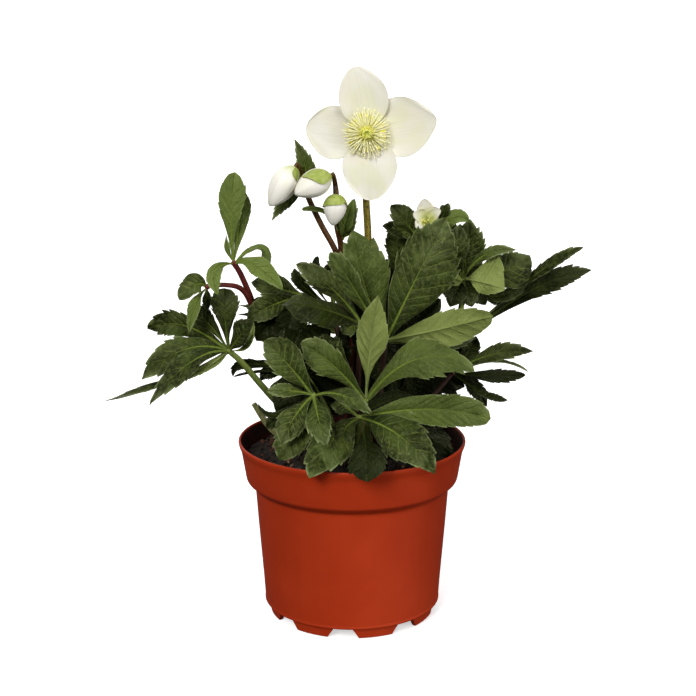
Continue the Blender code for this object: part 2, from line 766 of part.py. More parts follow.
def tepal(start, middle, end, width, face, cup, collection, small=False):
    """One broad, shallow-cupped tepal as a closed solid; cup is how far its edges rise, in millimetres."""
    outline, columns = (SMALL_TEPAL_ROWS, SMALL_TEPAL_COLUMNS) if small else (TEPAL_ROWS, TEPAL_COLUMNS)
    bm = bmesh.new()
    facing = Vector(face)
    rows = []
    for s, share in outline:
        way = bend_way(start, middle, end, s)
        upward = (facing - way * facing.dot(way)).normalized()
        side = way.cross(upward)
        row = []
        for column in columns:
            place = bend(start, middle, end, s) + side * (0.5 * width * MM * share * column)
            row.append(bm.verts.new(place + upward * (cup * MM * share * column**2)))
        rows.append(row)
    for low, high in zip(rows, rows[1:]):
        for k in range(len(columns) - 1):
            bm.faces.new((low[k], low[k + 1], high[k + 1]))
            bm.faces.new((low[k], high[k + 1], high[k]))
    bmesh.ops.recalc_face_normals(bm, faces=bm.faces)
    blade = mesh_object("tepal", bm, collection)
    shell = blade.modifiers.new("Thickness", "SOLIDIFY")
    shell.thickness = TEPAL_THICKNESS * MM
    shell.offset = 0.0
    bpy.context.view_layer.update()
    return made_solid(blade, collection)


# The open bloom: its middle, the way it faces, and its tepals (rib middle, tip, width, cup)
BLOOM = (8, 276, 3)
BLOOM_FACING = (0.0, -1.0, 0.1)
BLOOM_TEPALS = [
    ((-9, 277, 2), (-25, 279, -2), 29, 1.5),
    ((27, 280, 2), (46, 285, -3), 33, 1.5),
    ((7, 295, -2), (4, 312, -6), 29, 1.5),
    ((9, 258, -2), (11, 240, -7), 30, 1.5),
]
NECTARIES = 10
STAMENS = 27
STYLES = 6


def bloom_frame():
    """The bloom's middle and its own axes: to the right, up, and the way it faces."""
    ahead = Vector(BLOOM_FACING).normalized()
    right = Vector((1.0, 0.0, 0.0))
    return spot(*BLOOM), right, ahead.cross(-right).normalized() * -1.0, ahead


def rod(start, end, start_radius, end_radius, sides, collection):
    """A short straight rod with flat ends."""
    bm = bmesh.new()
    length = (end - start).length
    turn = (end - start).to_track_quat("Z", "Y").to_matrix().to_4x4()
    place = Matrix.Translation((start + end) * 0.5) @ turn
    bmesh.ops.create_cone(bm, cap_ends=True, segments=sides, radius1=start_radius * MM,
                          radius2=end_radius * MM, depth=length, matrix=place)
    return mesh_object("rod", bm, collection)


def make_bloom(collection, materials):
    """The open flower: tepals, nectaries, stamens and styles."""
    centre, right, up, ahead = bloom_frame()

    def at(across, high, forward):
        return centre + (right * across + up * high + ahead * forward) * MM

    pieces = [rod(at(0, 0, -2.6), at(0, 0, -0.4), 3.0, 5.0, 12, collection)]
    for middle, tip, width, cup in BLOOM_TEPALS:
        pieces.append(tepal(at(0, 0, -1.2), spot(*middle), spot(*tip), width, BLOOM_FACING, cup, collection))
    tepals = fuse("bloom_tepals", pieces, collection, materials["tepal"])

    ring = [rod(at(0, 0, 2.1), at(0, 0, 3.0), 5.6, 5.2, 10, collection)]
    for i in range(NECTARIES):
        turn = 2.0 * math.pi * (i + 0.5) / NECTARIES
        c, s = math.cos(turn), math.sin(turn)
        ring.append(rod(at(4.9 * c, 4.9 * s, 2.6), at(8.4 * c, 8.4 * s, 4.6), 0.7, 1.2, 3, collection))
    nectaries = fuse("bloom_nectaries", ring, collection, materials["lime"])

    ball = [rod(at(0, 0, 3.4), at(0, 0, 4.8), 4.4, 3.9, 10, collection)]
    for i in range(STAMENS):
        turn = 2.4 * i
        spread = math.sqrt((i + 0.5) / STAMENS)
        c, s = math.cos(turn), math.sin(turn)
        near, far = 1.5 + 1.4 * spread, 3.0 + 9.0 * spread
        reach = 14.5 - 4.5 * spread**2
        foot, head = at(near * c, near * s, 4.0), at(far * c, far * s, reach)
        neck = head - (head - foot).normalized() * 1.4 * MM
        ball.append(tube("stamen", [foot, neck, neck.lerp(head, 0.25), head], [0.42, 0.4, 0.8, 0.55], 3,
                         collection))
    stamens = fuse("bloom_stamens", ball, collection, materials["stamen"])

    spikes = [rod(at(0, 0, 5.0), at(0, 0, 6.6), 1.5, 1.3, 6, collection)]
    for i in range(STYLES):
        turn = 2.0 * math.pi * i / STYLES
        c, s = math.cos(turn), math.sin(turn)
        spikes.append(rod(at(0.7 * c, 0.7 * s, 5.7), at(1.6 * c, 1.6 * s, 13.0), 0.6, 0.4, 3, collection))
    styles = fuse("bloom_styles", spikes, collection, materials["lime"])
    return [tepals, nectaries, stamens, styles]


# The closed buds: base, tip and width. Each shows overlapping tepals as steps round it.
BUDS = {
    "bud_left": ((-31, 256, 1), (-45, 236, -5), 15.0),
    "bud_middle": ((-13, 252.5, -3), (-31, 243, -12), 14.6),
    "bud_nodding": ((-8, 243, -2), (-10, 225, -5), 12.6),
}
BUD_ROWS = 6
BUD_SIDES = 16
BUD_TEPALS = 4
BUD_STEP = 0.09
BUD_FOOT = 1.5
BUD_NECK = 1.8


def make_bud(name, base, tip, width, collection, materials):
    """An egg-shaped bud of tepals wrapped over each other, on a flat foot as wide as its stem."""
    start, end = spot(*base), spot(*tip)
    along = end - start
    turn = along.to_track_quat("Z", "Y").to_matrix()
    bm = bmesh.new()
    rows = []
    for j in range(BUD_ROWS):
        s = j / BUD_ROWS
        radius = max(BUD_FOOT, 0.5 * width * math.sin(math.pi * s**0.8) ** 0.7) * MM
        row = []
        for k in range(BUD_SIDES):
            angle = 2.0 * math.pi * k / BUD_SIDES
            wrap = (BUD_TEPALS * k / BUD_SIDES + 0.8 * s) % 1.0
            swell = radius * (1.0 - BUD_STEP * wrap)
            row.append(bm.verts.new(start + along * s + turn @ Vector((swell * math.cos(angle),
                                                                       swell * math.sin(angle), 0.0))))
        rows.append(row)
    point = bm.verts.new(end)
    bm.faces.new(reversed(rows[0]))
    for k in range(BUD_SIDES):
        n = (k + 1) % BUD_SIDES
        bm.faces.new((point, rows[-1][k], rows[-1][n]))
        for low, high in zip(rows, rows[1:]):
            bm.faces.new((low[k], low[n], high[n], high[k]))
    bmesh.ops.triangulate(bm, faces=bm.faces)
    bmesh.ops.recalc_face_normals(bm, faces=bm.faces)
    bud = mesh_object(name, bm, collection)
    bud.data.materials.append(materials["tepal"])
    bud.data.shade_smooth()
    return bud


# The small leaves on the flower stems: where they start, then as a leaflet
BRACTS = {
    "bracts_left_bud": [
        ((-26.5, 249, 10.4), (-27, 261, 7), (-31, 273, 8), 9, FRONT),
        ((-26.5, 249, 10.4), (-36, 239, 9), (-43, 229, 4), 8, FRONT),
    ],
    "bracts_middle_buds": [
        ((-7.5, 222, 8.6), (-2, 230, 5), (2, 239, 3), 8, RIGHT_FRONT),
        ((-7.5, 222, 8.6), (0, 231, 9), (4, 242, 11), 4, RIGHT_FRONT),
        ((-7.5, 222, 8.6), (-15, 230, 2), (-27, 235, 2), 5, FRONT_UP),
    ],
    "bracts_half_open": [
        ((40, 213.5, 25.2), (33, 226, 24), (23, 237, 23), 13, FRONT),
        ((40, 213.5, 25.2), (34, 228, 29), (29, 237, 32), 5, FRONT),
        ((40, 213.5, 25.2), (49, 227, 24), (51, 238, 26), 8, FRONT),
        ((40, 213.5, 25.2), (55, 229, 21), (66, 228, 18), 12, FRONT_UP),
        ((40, 213.5, 25.2), (28, 221, 22), (17, 225, 20), 8, FRONT),
    ],
}

# The half-open flower among the leaves: its base, and its tepals as above
HALF_OPEN = (42, 226, 20)
HALF_OPEN_TEPALS = [
    ((41, 235, 15), (40, 240, 11), 11, 1.0),
    ((47, 232, 15), (50, 233, 10), 10, 1.0),
    ((36, 227, 15), (34, 227, 9), 9, 1.0),
    ((41, 222, 15), (40, 220, 9), 9, 1.0),
]
CUT_STALK_ROOT = (-29, 8)
CUT_STALK = [(-46, 108, 10), (-56, 123, 8)]


def make_half_open(collection, materials):
    """The half-open flower and its small middle."""
    base = spot(*HALF_OPEN)
    pieces = [knob(base, KNOB_RADIUS, collection)]
    for middle, tip, width, cup in HALF_OPEN_TEPALS:
        pieces.append(tepal(base, spot(*middle), spot(*tip), width, FRONT, cup, collection, small=True))
    tepals = fuse("half_open_tepals", pieces, collection, materials["tepal"])
    ahead = Vector((-0.15, -1.0, 0.1)).normalized()
    foot = base + ahead * (KNOB_RADIUS + GAP) * MM
    middle = [rod(foot, foot + ahead * 2.0 * MM, 1.2, 1.9, 8, collection)]
    for i in range(7):
        turn = 2.0 * math.pi * i / 7
        out = Vector((math.cos(turn), 0.0, math.sin(turn)))
        middle.append(rod(foot + (ahead + out * 0.8) * MM, foot + (ahead * 5.5 + out * 2.0) * MM, 0.5, 0.6, 4,
                          collection))
    centre = fuse("half_open_centre", middle, collection, materials["lime"])
    return [tepals, centre]


def bud_neck(name):
    """Two points of the stem that carries a bud: a little before the bud's foot, and at it."""
    base, tip, _ = BUDS[name]
    foot = spot(*base)
    away = (foot - spot(*tip)).normalized()
    return [foot + away * BUD_NECK * MM, foot + away * GAP * MM]


def make_stems(collection, materials):
    """The flower stems, one of them with a branch."""
    for name, plan in STEMS.items():
        neck = bud_neck(plan["bud"]) if "bud" in plan else [spot(*plan["head"])]
        path = rooted_path(plan["root"], plan["path"], neck[0], 2) + neck[1:]
        pieces = [tube(name, path, tapering(path, plan["radius"] * 1.2, plan["radius"]), ROD_SIDES, collection)]
        if "branch" in plan:
            neck = bud_neck(plan["branch_bud"])
            path = smooth_path([spot(*p) for p in plan["branch"]] + neck[:1], 2) + neck[1:]
            pieces.append(tube(name, path, tapering(path, plan["radius"] * 0.9, plan["radius"] * 0.8), ROD_SIDES,
                               collection))
        fuse(name, pieces, collection, materials["flower stem"])


def make_bracts(collection, materials):
    """The bracts, in pairs and threes that grow together where they leave the stem."""
    for name, blades in BRACTS.items():
        pieces = [knob(spot(*blades[0][0]), BRACT_KNOB_RADIUS, collection)]
        for start, middle, tip, width, face in blades:
            first = spot(*start).lerp(spot(*middle), 0.05)
            pieces.append(leaflet(first, spot(*middle), spot(*tip), width, face, PLAIN_EDGE, collection))
        fuse(name, pieces, collection, materials["young leaf"])


def make_cut_stalk(collection, materials):
    """The dry stub that leans out of the soil."""
    path = rooted_path(CUT_STALK_ROOT, CUT_STALK[:-1], spot(*CUT_STALK[-1]), 3)
    stub = tube("cut_stalk", path, tapering(path, STALK_FOOT_RADIUS, STALK_RADIUS), ROD_SIDES, collection)
    stub.data.materials.append(materials["dry stalk"])


def main():
    clear_scene()
    collection = make_collection("potted christmas rose")
    materials = make_materials()
    make_pot(collection, materials)
    make_soil(collection, materials)
    for key, plan in LEAVES.items():
        make_leaf(key, plan, collection, materials)
        make_stalk(key, plan, collection, materials)
    make_stems(collection, materials)
    make_bracts(collection, materials)
    make_bloom(collection, materials)
    for name, (base, tip, width) in BUDS.items():
        make_bud(name, base, tip, width, collection, materials)
    make_half_open(collection, materials)
    make_cut_stalk(collection, materials)


main()
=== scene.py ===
"""A christmas rose in a plastic nursery pot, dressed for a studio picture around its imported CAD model.

Metres, +Z up; the open bloom faces -Y. Sizes and places are written in millimetres and turned into metres by
MM. Each piece is the fine form of the CAD node that it replaces.
"""

import math
import random

import bpy
import numpy as np
from mathutils import Matrix, Vector, noise

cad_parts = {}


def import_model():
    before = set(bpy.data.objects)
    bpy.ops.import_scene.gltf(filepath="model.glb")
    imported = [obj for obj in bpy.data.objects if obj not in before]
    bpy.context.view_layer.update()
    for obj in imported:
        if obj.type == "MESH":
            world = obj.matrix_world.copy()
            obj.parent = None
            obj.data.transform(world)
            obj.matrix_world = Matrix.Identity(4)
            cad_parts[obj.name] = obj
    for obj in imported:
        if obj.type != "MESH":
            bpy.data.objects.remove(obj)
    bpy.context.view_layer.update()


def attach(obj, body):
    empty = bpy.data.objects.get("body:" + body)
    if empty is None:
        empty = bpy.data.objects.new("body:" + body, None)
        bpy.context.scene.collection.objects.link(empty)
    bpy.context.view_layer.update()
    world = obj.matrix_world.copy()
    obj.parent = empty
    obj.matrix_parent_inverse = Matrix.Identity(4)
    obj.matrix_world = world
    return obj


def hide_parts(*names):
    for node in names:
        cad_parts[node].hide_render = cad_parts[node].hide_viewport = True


MM = 0.001

# The pot
FOOT_HEIGHT = 6.2
FEET = 8
NOTCH_TOP_DEGREES = 12.0
NOTCH_FOOT_DEGREES = 21.8
NOTCH_MIDDLE_DEGREES = -6.0
DRAIN_RADIUS = 4.0
DRAIN_CIRCLE = 33.0
POT_SIDES = 144

# The soil and what stands in it
SOIL_TOP = 93.0
SOIL_RADIUS = 60.2
SOIL_RINGS = 42
SOIL_SIDES = 120
# The bumps of its top: how many to a millimetre, how high, and how high the peaks are at most
SOIL_BUMPS = 0.16
SOIL_ROUGHNESS = 1.6
SOIL_PEAK = 1.8
CRUMBS = 420
CRUMB_SIZE = (0.7, 2.1)
SLIVERS = 90
SLIVER_LENGTH = (2.0, 5.0)
SLIVER_RADII = [0.35, 0.6, 0.25]
SOIL_SIDE = [(58.2, 82.2), (57.3, 80.6), (53.5, 73.4), (48.7, 10.4), (48.0, 8.6)]
HOLE_DEPTH = 9.0
STALK_RADIUS = 1.5
STALK_FOOT_RADIUS = 2.1
STALK_SIDES = 12
STEM_SIDES = 14
# How deep the furrows along them are, as a share of the radius
STALK_FURROWS = 0.05
STEM_FURROWS = 0.04
# The swelling at a stalk's head, and how far from its middle the leaflets start
HUB_RADII = (1.7, 1.7, 1.4)
HUB_OFFSET = 1.3

# A spot of the plant is (across, height, back). It lies on the line from the eye through the point of the
# upright plane y = 0 that is so far across and so high, and it is so far behind that plane, or before it.
EYE = Vector((0.0, -815.8, 354.6))
LOOK_DOWN = 0.2391
LENS = 76.82
SENSOR_WIDTH = 36.0
SHIFT = -4.0 / 696.0

# Which way a blade's upper side looks
UP = (0.0, 0.0, 1.0)
FRONT = (0.0, -1.0, 0.2)
FRONT_UP = (0.0, -0.75, 0.65)
UP_FRONT = (0.0, -0.35, 0.95)
LEFT_FRONT = (-0.35, -0.9, 0.3)
LEFT_UP = (-0.5, -0.3, 0.8)
RIGHT_FRONT = (0.35, -0.9, 0.3)
BACK = (0.0, 1.0, 0.25)
UNDER = (0.0, 1.0, -0.25)
BACK_UP = (0.0, 0.6, 0.8)
BACK_LEFT_UP = (-0.45, 0.5, 0.75)
BACK_RIGHT_UP = (0.45, 0.5, 0.75)

# Each leaf: where its stalk stands in the soil (x, y), the spots its stalk passes, its hub, and its
# leaflets, each with the spot at the middle of its rib, its tip, its width, its facing, its outline, its tone
# (young and yellowish above 0; below 0 darker, which is painted shade) and how much wider its right half is
# than its left.
# What a leaf doesn't say is as in USUAL_LEAF, and what a leaflet leaves out at its end as in USUAL_LEAFLET.
USUAL_LEAF = {
    "stalk": [], "colour": "leaf", "stalk_colour": "green stalk", "radius": STALK_RADIUS, "tone": 0.0,
}
USUAL_LEAFLET = ("pointed", 0.0, 0.0)
LEAVES = {
    "01": {
        "root": (-15, 13),
        "stalk": [(-26, 120, 14), (-44, 154, 18), (-53.5, 175, 14), (-57.5, 187, 8), (-62.5, 199, 4)],
        "hub": (-66, 204.5, 2), "colour": "young leaf", "stalk_colour": "red stalk", "tone": 0.75,
        "leaflets": [
            ((-67, 230.9, 3), (-64.3, 255.3, 6), 13.6, FRONT, "spoon"),
            ((-62, 228.7, 9), (-59.5, 245.4, 13), 8.5, RIGHT_FRONT, "pointed", -0.15, 0.2),
            ((-54.1, 202.8, -4), (-38.6, 189.2, -8), 11.5, FRONT_UP, "pointed", 0.1, -0.1),
            ((-52.3, 213, 8), (-45.8, 202.3, 8), 9, UP_FRONT, "pointed", -0.2),
            ((-76.5, 200, -13), (-75.1, 186.3, -21), 8.5, FRONT),
            ((-69, 211.9, 8), (-69.9, 220.9, 12), 3.6, LEFT_UP, "pointed", -0.2),
        ],
    },
    "02": {
        "root": (-19, 5),
        "stalk": [(-28, 120, 6), (-46, 157, 10), (-54, 175, 8), (-61, 189, 2), (-71, 192, -6)],
        "hub": (-81, 191, -12), "colour": "young leaf", "stalk_colour": "red stalk", "radius": 1.2,
        "tone": 0.5,
        "leaflets": [
            ((-87.3, 192, -14), (-97.1, 183.5, -16), 14, LEFT_FRONT, "pointed", -0.3, 0.1),
            ((-88.1, 180.6, -18), (-92, 163.9, -20), 6.5, LEFT_FRONT, "pointed", 0.15),
            ((-87.2, 194.9, -4), (-93.3, 196.6, 2), 8, UP, "pointed", -0.4),
            ((-81.3, 185.2, -8), (-81.5, 176.6, -8), 5, FRONT, "pointed", -0.5),
        ],
    },
    "03": {
        "root": (-14, -4), "stalk": [(-41, 122, -8), (-51, 133.5, -12), (-62.5, 147.5, -16)],
        "hub": (-69.5, 154, -18), "radius": 1.55,
        "leaflets": [
            ((-71.5, 173.1, -12), (-71.7, 190.3, -6), 14, FRONT, "spoon", -0.5, 0.1),
            ((-80.5, 169.7, -8), (-88.8, 176, -2), 11, LEFT_FRONT, "spoon", -0.45, 0.15),
            ((-95.2, 169.1, 0), (-115.5, 166.8, 10), 13.5, LEFT_FRONT, "broad", -0.1),
            ((-95, 154.6, -20), (-119.9, 137, -24), 16, FRONT_UP, "broad", 0.08),
            ((-91.8, 147, -30), (-115.9, 121.7, -38), 12.5, FRONT_UP, "broad", -0.2),
            ((-82.8, 144.1, -28), (-97.8, 135.8, -34), 4.5, UNDER, "lance", 0.3),
            ((-106.3, 135.4, -16), (-141.6, 124.6, -12), 6.6, UP_FRONT, "late", -0.15),
            ((-63.2, 162.7, -24), (-55.7, 172.5, -24), 13, LEFT_FRONT, "broad", -0.5),
            ((-59.3, 157.5, -26), (-55.2, 170.8, -28), 3.4, RIGHT_FRONT, "pointed", 0.7),
            ((-78, 156.3, -14), (-87.7, 152.8, -12), 3.4, UP_FRONT, "pointed", -0.6),
        ],
    },
    "04": {
        "root": (-10, 19), "stalk": [(-18, 130, 20), (-26, 165, 18)], "hub": (-27, 186, 12),
        "leaflets": [
            ((-42.6, 190.3, 14), (-56.5, 193.7, 16), 14, FRONT_UP, "broad", -0.1, 0.1),
            ((-40.3, 193.2, 20), (-50.8, 198.3, 24), 9, FRONT_UP, "pointed", -0.3),
            ((-44.9, 180.6, 3), (-59.1, 172.5, -1), 13, FRONT, "broad", -0.05),
            ((-42.7, 174.3, 8), (-54.2, 159.8, 8), 18, FRONT, "broad", -0.75),
            ((-33.8, 173.1, 6), (-39.5, 159.2, 2), 16, FRONT, "pointed", -0.75),
            ((-46, 180, 24), (-64, 180.6, 26), 3, FRONT_UP, "pointed", -0.4),
            ((-46.1, 176.6, 24), (-64.7, 175.4, 26), 3.6, FRONT_UP, "pointed", -0.5),
            ((-50.5, 181.7, 25), (-55.7, 172, 24), 8, FRONT, "pointed", -0.7),
        ],
    },
    "05": {
        "root": (1, -8), "stalk": [(3, 130, -10)], "hub": (6, 169, -14), "stalk_colour": "red stalk",
        "leaflets": [
            ((-11.8, 190.3, -7), (-31.2, 204, -4), 13, FRONT_UP, "pointed", -0.35),
            ((-17.4, 178.3, -20), (-39.9, 181.2, -24), 21, FRONT_UP, "broad", -0.6, -0.35),
            ((-1.1, 167.9, -18), (-5.6, 163.9, -21), 9, FRONT, "pointed", -0.3),
        ],
    },
    "06": {
        "root": (13, -6), "stalk": [(16, 130, -5)], "hub": (19, 160, -4), "stalk_colour": "red stalk",
        "leaflets": [
            ((-0.6, 193.2, -16), (-12.2, 210.7, -14), 11.5, LEFT_FRONT, "pointed", 0.22),
            ((6.7, 193.2, 0), (0.6, 223.1, 6), 23, FRONT, "broad", 0.3, 0.25),
            ((37.4, 199.4, 0), (52, 230.4, 10), 32, FRONT, "ovate", 0.12, 0.1),
            ((50.2, 166.8, -12), (79.3, 174.3, -14), 18.5, UNDER, "blunt", 0.6, -0.1),
            ((47.5, 158.6, 2), (70.6, 161.5, 3), 15, UP_FRONT, "broad", -0.2),
        ],
    },
    "07": {
        "root": (9, -13), "stalk": [(9, 112, -20)], "hub": (8, 125, -28),
        "leaflets": [
            ((37.4, 149.3, -34), (69.8, 142.3, -26), 22.5, FRONT_UP, "broad", 0.4),
            ((10.2, 154.6, -32), (14.6, 186.3, -32), 16.5, BACK, "rhombic", 0.45),
            ((-11.9, 147, -32), (-29.4, 158.6, -28), 15.5, LEFT_FRONT, "broad", 0.3),
            ((-10.2, 150.5, -24), (-14.1, 163.9, -20), 13, FRONT, "broad"),
        ],
    },
    "08": {
        "root": (-9, -14), "stalk": [(-17, 114, -30)], "hub": (-22, 128, -44),
        "leaflets": [
            ((-36.3, 146.4, -46), (-49.7, 160.4, -42), 17, LEFT_FRONT, "broad", 0.2, 0.1),
            ((-35.3, 130.5, -46), (-49, 130.5, -44), 7.5, FRONT_UP, "pointed", 0.1),
            ((-33.2, 114.5, -56), (-40.2, 99, -58), 14, LEFT_FRONT, "broad", 0.15),
            ((-18.9, 113.3, -60), (-14.9, 97.2, -66), 12.5, FRONT, "ovate", 0.12),
            ((-31.5, 106.8, -50), (-41.5, 89.3, -52), 18, FRONT_UP, "broad", 0.2),
            ((-40.6, 115.7, -34), (-49.3, 108.6, -34), 7, FRONT, "pointed", -0.6),
            ((-43.4, 116.3, -36), (-53.6, 123.4, -34), 3, FRONT, "pointed", -0.6),
            ((-4.6, 127.6, -54), (11.4, 116.3, -52), 9.5, FRONT_UP, "pointed", 0.15),
        ],
    },
    "09": {
        "root": (1, -22), "hub": (4, 115, -38),
        "leaflets": [
            ((-10.9, 101.4, -52), (-24.8, 78.4, -73), 21, FRONT_UP, "broad", 0.1, -0.15),
            ((28.1, 103.2, -56), (47.9, 80.9, -69), 23, FRONT_UP, "ovate", -0.14),
            ((45.7, 119.9, -42), (79.5, 113.9, -40), 17, FRONT, "blunt", 0.46),
            ((-4.6, 121.1, -38), (-12.6, 122.3, -36), 9, FRONT_UP, "pointed", -0.3),
            ((8, 96.6, -60), (9.2, 76, -79), 18.5, FRONT_UP, "round", -0.8),
            ((35.5, 107.4, -36), (56.4, 91.8, -30), 20, FRONT_UP, "broad", -1.0),
            ((20.5, 124.6, -26), (36.5, 126.4, -20), 12, FRONT_UP, "broad", -0.85),
            ((-4, 107.4, -47), (-4, 95.4, -54), 13, FRONT, "pointed", -0.6),
        ],
    },
    "10": {
        "root": (20, 8), "stalk": [(44, 140, 19), (60, 174, 20)], "hub": (62, 195, 20),
        "leaflets": [
            ((71.6, 193.7, 13), (85.7, 189.2, 12), 24, UNDER, "rhombic", -0.06, 0.5),
            ((59.3, 194.9, 12), (53.6, 197.2, 11), 7, UNDER, "pointed", 0.1),
            ((74.1, 209, 20), (91.8, 211.9, 22), 6.5, FRONT_UP, "pointed", 0.25),
            ((85.4, 200, 30), (99.1, 209, 34), 20, FRONT, "broad", -0.25, 0.1),
            ((64, 213.6, 26), (65.3, 229.3, 28), 18.5, FRONT, "ovate", -0.15),
            ((65.9, 201.7, 24), (72.4, 209, 26), 15, FRONT, "ovate", -0.35),
            ((54, 210.7, 26), (57, 228.1, 30), 17, FRONT, "broad", -0.35),
            ((54.6, 205.1, 22), (52.2, 217.5, 22), 16, FRONT, "ovate", -0.4),
            ((58.4, 210.7, 24), (60.4, 226.5, 28), 13, FRONT, "pointed", -0.2),
            ((55.9, 197.2, 15), (46.9, 200.6, 12), 12, FRONT_UP, "pointed", -0.3),
            ((80.2, 185.2, 24), (99.5, 194.9, 26), 8, FRONT_UP, "pointed", -0.6),
            ((76.2, 185.7, 25), (84.7, 182.9, 26), 8, FRONT_UP, "pointed", -0.7),
            ((56, 192, 24), (52.7, 185.2, 22), 12, FRONT, "broad", -0.6),
            ((68.9, 189.2, 22), (75.2, 180.6, 20), 12, FRONT, "pointed", -0.7),
            ((65, 188, 20), (67.4, 179.4, 18), 11, FRONT, "pointed", -0.6),
            ((58.8, 189.2, 17), (55, 179.4, 14), 13, FRONT, "broad", -0.6),
        ],
    },
    "11": {
        "root": (22, 16), "stalk": [(38, 126, 22), (54, 150, 26)], "hub": (64, 163, 27), "radius": 1.6,
        "tone": -0.15,
        "leaflets": [
            ((101.7, 197.2, 34), (129, 213.6, 38), 7, FRONT_UP, "late", -0.1),
            ((103, 190.3, 38), (134, 200.6, 42), 11.5, FRONT, "pointed", -0.5),
        ],
    },
    "12": {
        "root": (20, -8), "stalk": [(36, 114, -10), (48, 130, -8)], "hub": (57, 141, -5),
        "stalk_colour": "red stalk", "radius": 1.2, "tone": -0.05,
        "leaflets": [
            ((78.7, 151.7, -2), (103, 154, 4), 9, FRONT_UP, "pointed", -0.4),
            ((80.5, 148.2, 5), (100.5, 141.7, 10), 3.6, UP_FRONT, "pointed", 0.05),
            ((78.4, 139.4, -9), (98.8, 140, -8), 8.5, FRONT_UP, "pointed", -0.8),
            ((67.7, 134.7, -3), (77.1, 121.1, -2), 8.5, FRONT_UP, "broad", -0.75),
            ((75.2, 128.8, -12), (89, 125.2, -14), 5, FRONT_UP, "pointed", -0.7),
            ((65.6, 153.4, 4), (70, 162.7, 5), 10, FRONT, "broad", -0.5),
        ],
    },
    "13": {
        "root": (9, 14), "stalk": [(16, 150, 24)], "hub": (28, 188, 34), "tone": -0.4,
        "leaflets": [
            ((26.2, 207.9, 32), (21.1, 224.8, 34), 13, FRONT, "broad", 0.1),
            ((44.6, 209, 38), (58.8, 223.1, 44), 17, FRONT),
            ((19, 196, 31), (13.4, 210.2, 30), 14, FRONT, "pointed", -0.45),
            ((-3.9, 193.7, 24), (-13.9, 204, 22), 12, FRONT, "pointed", -0.45),
            ((22.4, 182.3, 26), (19.2, 169.1, 20), 18, FRONT, "pointed", -0.5),
            ((42, 190, 50), (58, 196, 66), 16, BACK_RIGHT_UP),
            ((26, 200, 50), (24, 206, 66), 15, BACK_UP),
        ],
    },
    "14": {
        "root": (-2, 22), "stalk": [(-6, 150, 32)], "hub": (-10, 178, 40), "tone": -0.3,
        "leaflets": [
            ((-20.1, 193.2, 40), (-18.9, 208.5, 44), 5, FRONT, "spoon", -0.4),
            ((-27.4, 191.5, 34), (-31.8, 201.7, 36), 6.5, FRONT, "broad", -0.4),
            ((-25.2, 188, 46), (-28.5, 195.4, 52), 9, BACK_LEFT_UP, "pointed", -0.4),
            ((-33.1, 186.9, 42), (-37.5, 193.7, 44), 6, FRONT, "pointed", -0.4),
            ((-12, 192, 54), (-10, 200, 68), 15, BACK_UP),
            ((-24, 178, 56), (-36, 178, 70), 15, BACK_LEFT_UP),
        ],
    },
    "15": {
        "root": (7, 24), "stalk": [(6, 135, 46)], "hub": (6, 158, 60), "tone": -0.1,
        "leaflets": [
            ((-12, 166, 65), (-30, 162, 70), 17, BACK_UP),
            ((-4, 174, 70), (-12, 180, 78), 18, BACK_UP),
            ((10, 170, 71), (12, 164, 79), 20, BACK_UP),
            ((22, 172, 69), (34, 176, 76), 18, BACK_UP),
            ((24, 162, 65), (42, 156, 70), 17, BACK_UP),
        ],
    },
    "16": {
        "root": (-17, 21), "stalk": [(-26, 122, 38)], "hub": (-32, 146, 50), "tone": -0.1,
        "leaflets": [
            ((-40, 166, 50), (-46, 182, 54), 15, BACK_LEFT_UP),
            ((-42, 156, 60), (-52, 166, 70), 16, BACK_LEFT_UP),
            ((-34, 150, 65), (-38, 146, 78), 17, BACK_UP),
            ((-22, 146, 62), (-18, 138, 74), 15, BACK_UP),
            ((-38, 136, 57), (-42, 122, 64), 14, BACK_LEFT_UP),
        ],
    },
    "17": {
        "root": (19, 24), "stalk": [(30, 122, 40)], "hub": (38, 144, 52), "tone": -0.1,
        "leaflets": [
            ((50, 162, 54), (62, 174, 58), 15, BACK_RIGHT_UP),
            ((52, 150, 61), (68, 152, 70), 16, BACK_RIGHT_UP),
            ((44, 148, 66), (48, 142, 79), 17, BACK_UP),
            ((32, 142, 63), (28, 130, 75), 15, BACK_UP),
            ((48, 136, 57), (60, 124, 62), 14, BACK_RIGHT_UP),
        ],
    },
    "18": {
        "root": (2, 32), "hub": (2, 126, 56), "tone": -0.1,
        "leaflets": [
            ((-14, 129, 63), (-30, 118, 71), 16, BACK_UP),
            ((-4, 130, 69), (-8, 114, 79), 18, BACK_UP),
            ((12, 130, 68), (18, 116, 78), 17, BACK_UP),
            ((22, 128, 63), (38, 118, 69), 15, BACK_UP),
        ],
    },
    "19": {
        "root": (-8, -6), "stalk": [(-13, 116, -6)], "hub": (-26, 140, -8), "tone": -0.3,
        "leaflets": [
            ((-45.3, 147, -4), (-59.5, 147, -2), 3.4, UP, "pointed", -0.6),
            ((-57.8, 146.4, -6), (-67.6, 138.8, -8), 6, FRONT_UP, "pointed", -0.5),
            ((-48.8, 142.3, -8), (-67.6, 138.8, -8), 4.5, UP, "pointed", -0.6),
            ((-44.3, 142.3, -6), (-51.7, 136.4, -6), 7, FRONT, "pointed", -0.6),
            ((-32.8, 154.6, -7), (-38.3, 167.9, -5), 17, FRONT, "broad", -0.55),
            ((-21.5, 156.9, -7), (-16.9, 172, -7), 17, FRONT, "broad", -0.55),
            ((-14.2, 147.6, -11), (0, 155.7, -13), 18, FRONT, "broad", -0.6),
            ((-35.3, 132.3, -17), (-43.4, 118.1, -21), 15, FRONT, "broad", -0.5),
            ((-12.5, 135.8, -9), (0, 126.4, -9), 12, FRONT, "broad", -0.65),
            ((-26.2, 127.6, -14), (-27.5, 111, -16), 15, FRONT, "broad", -0.6),
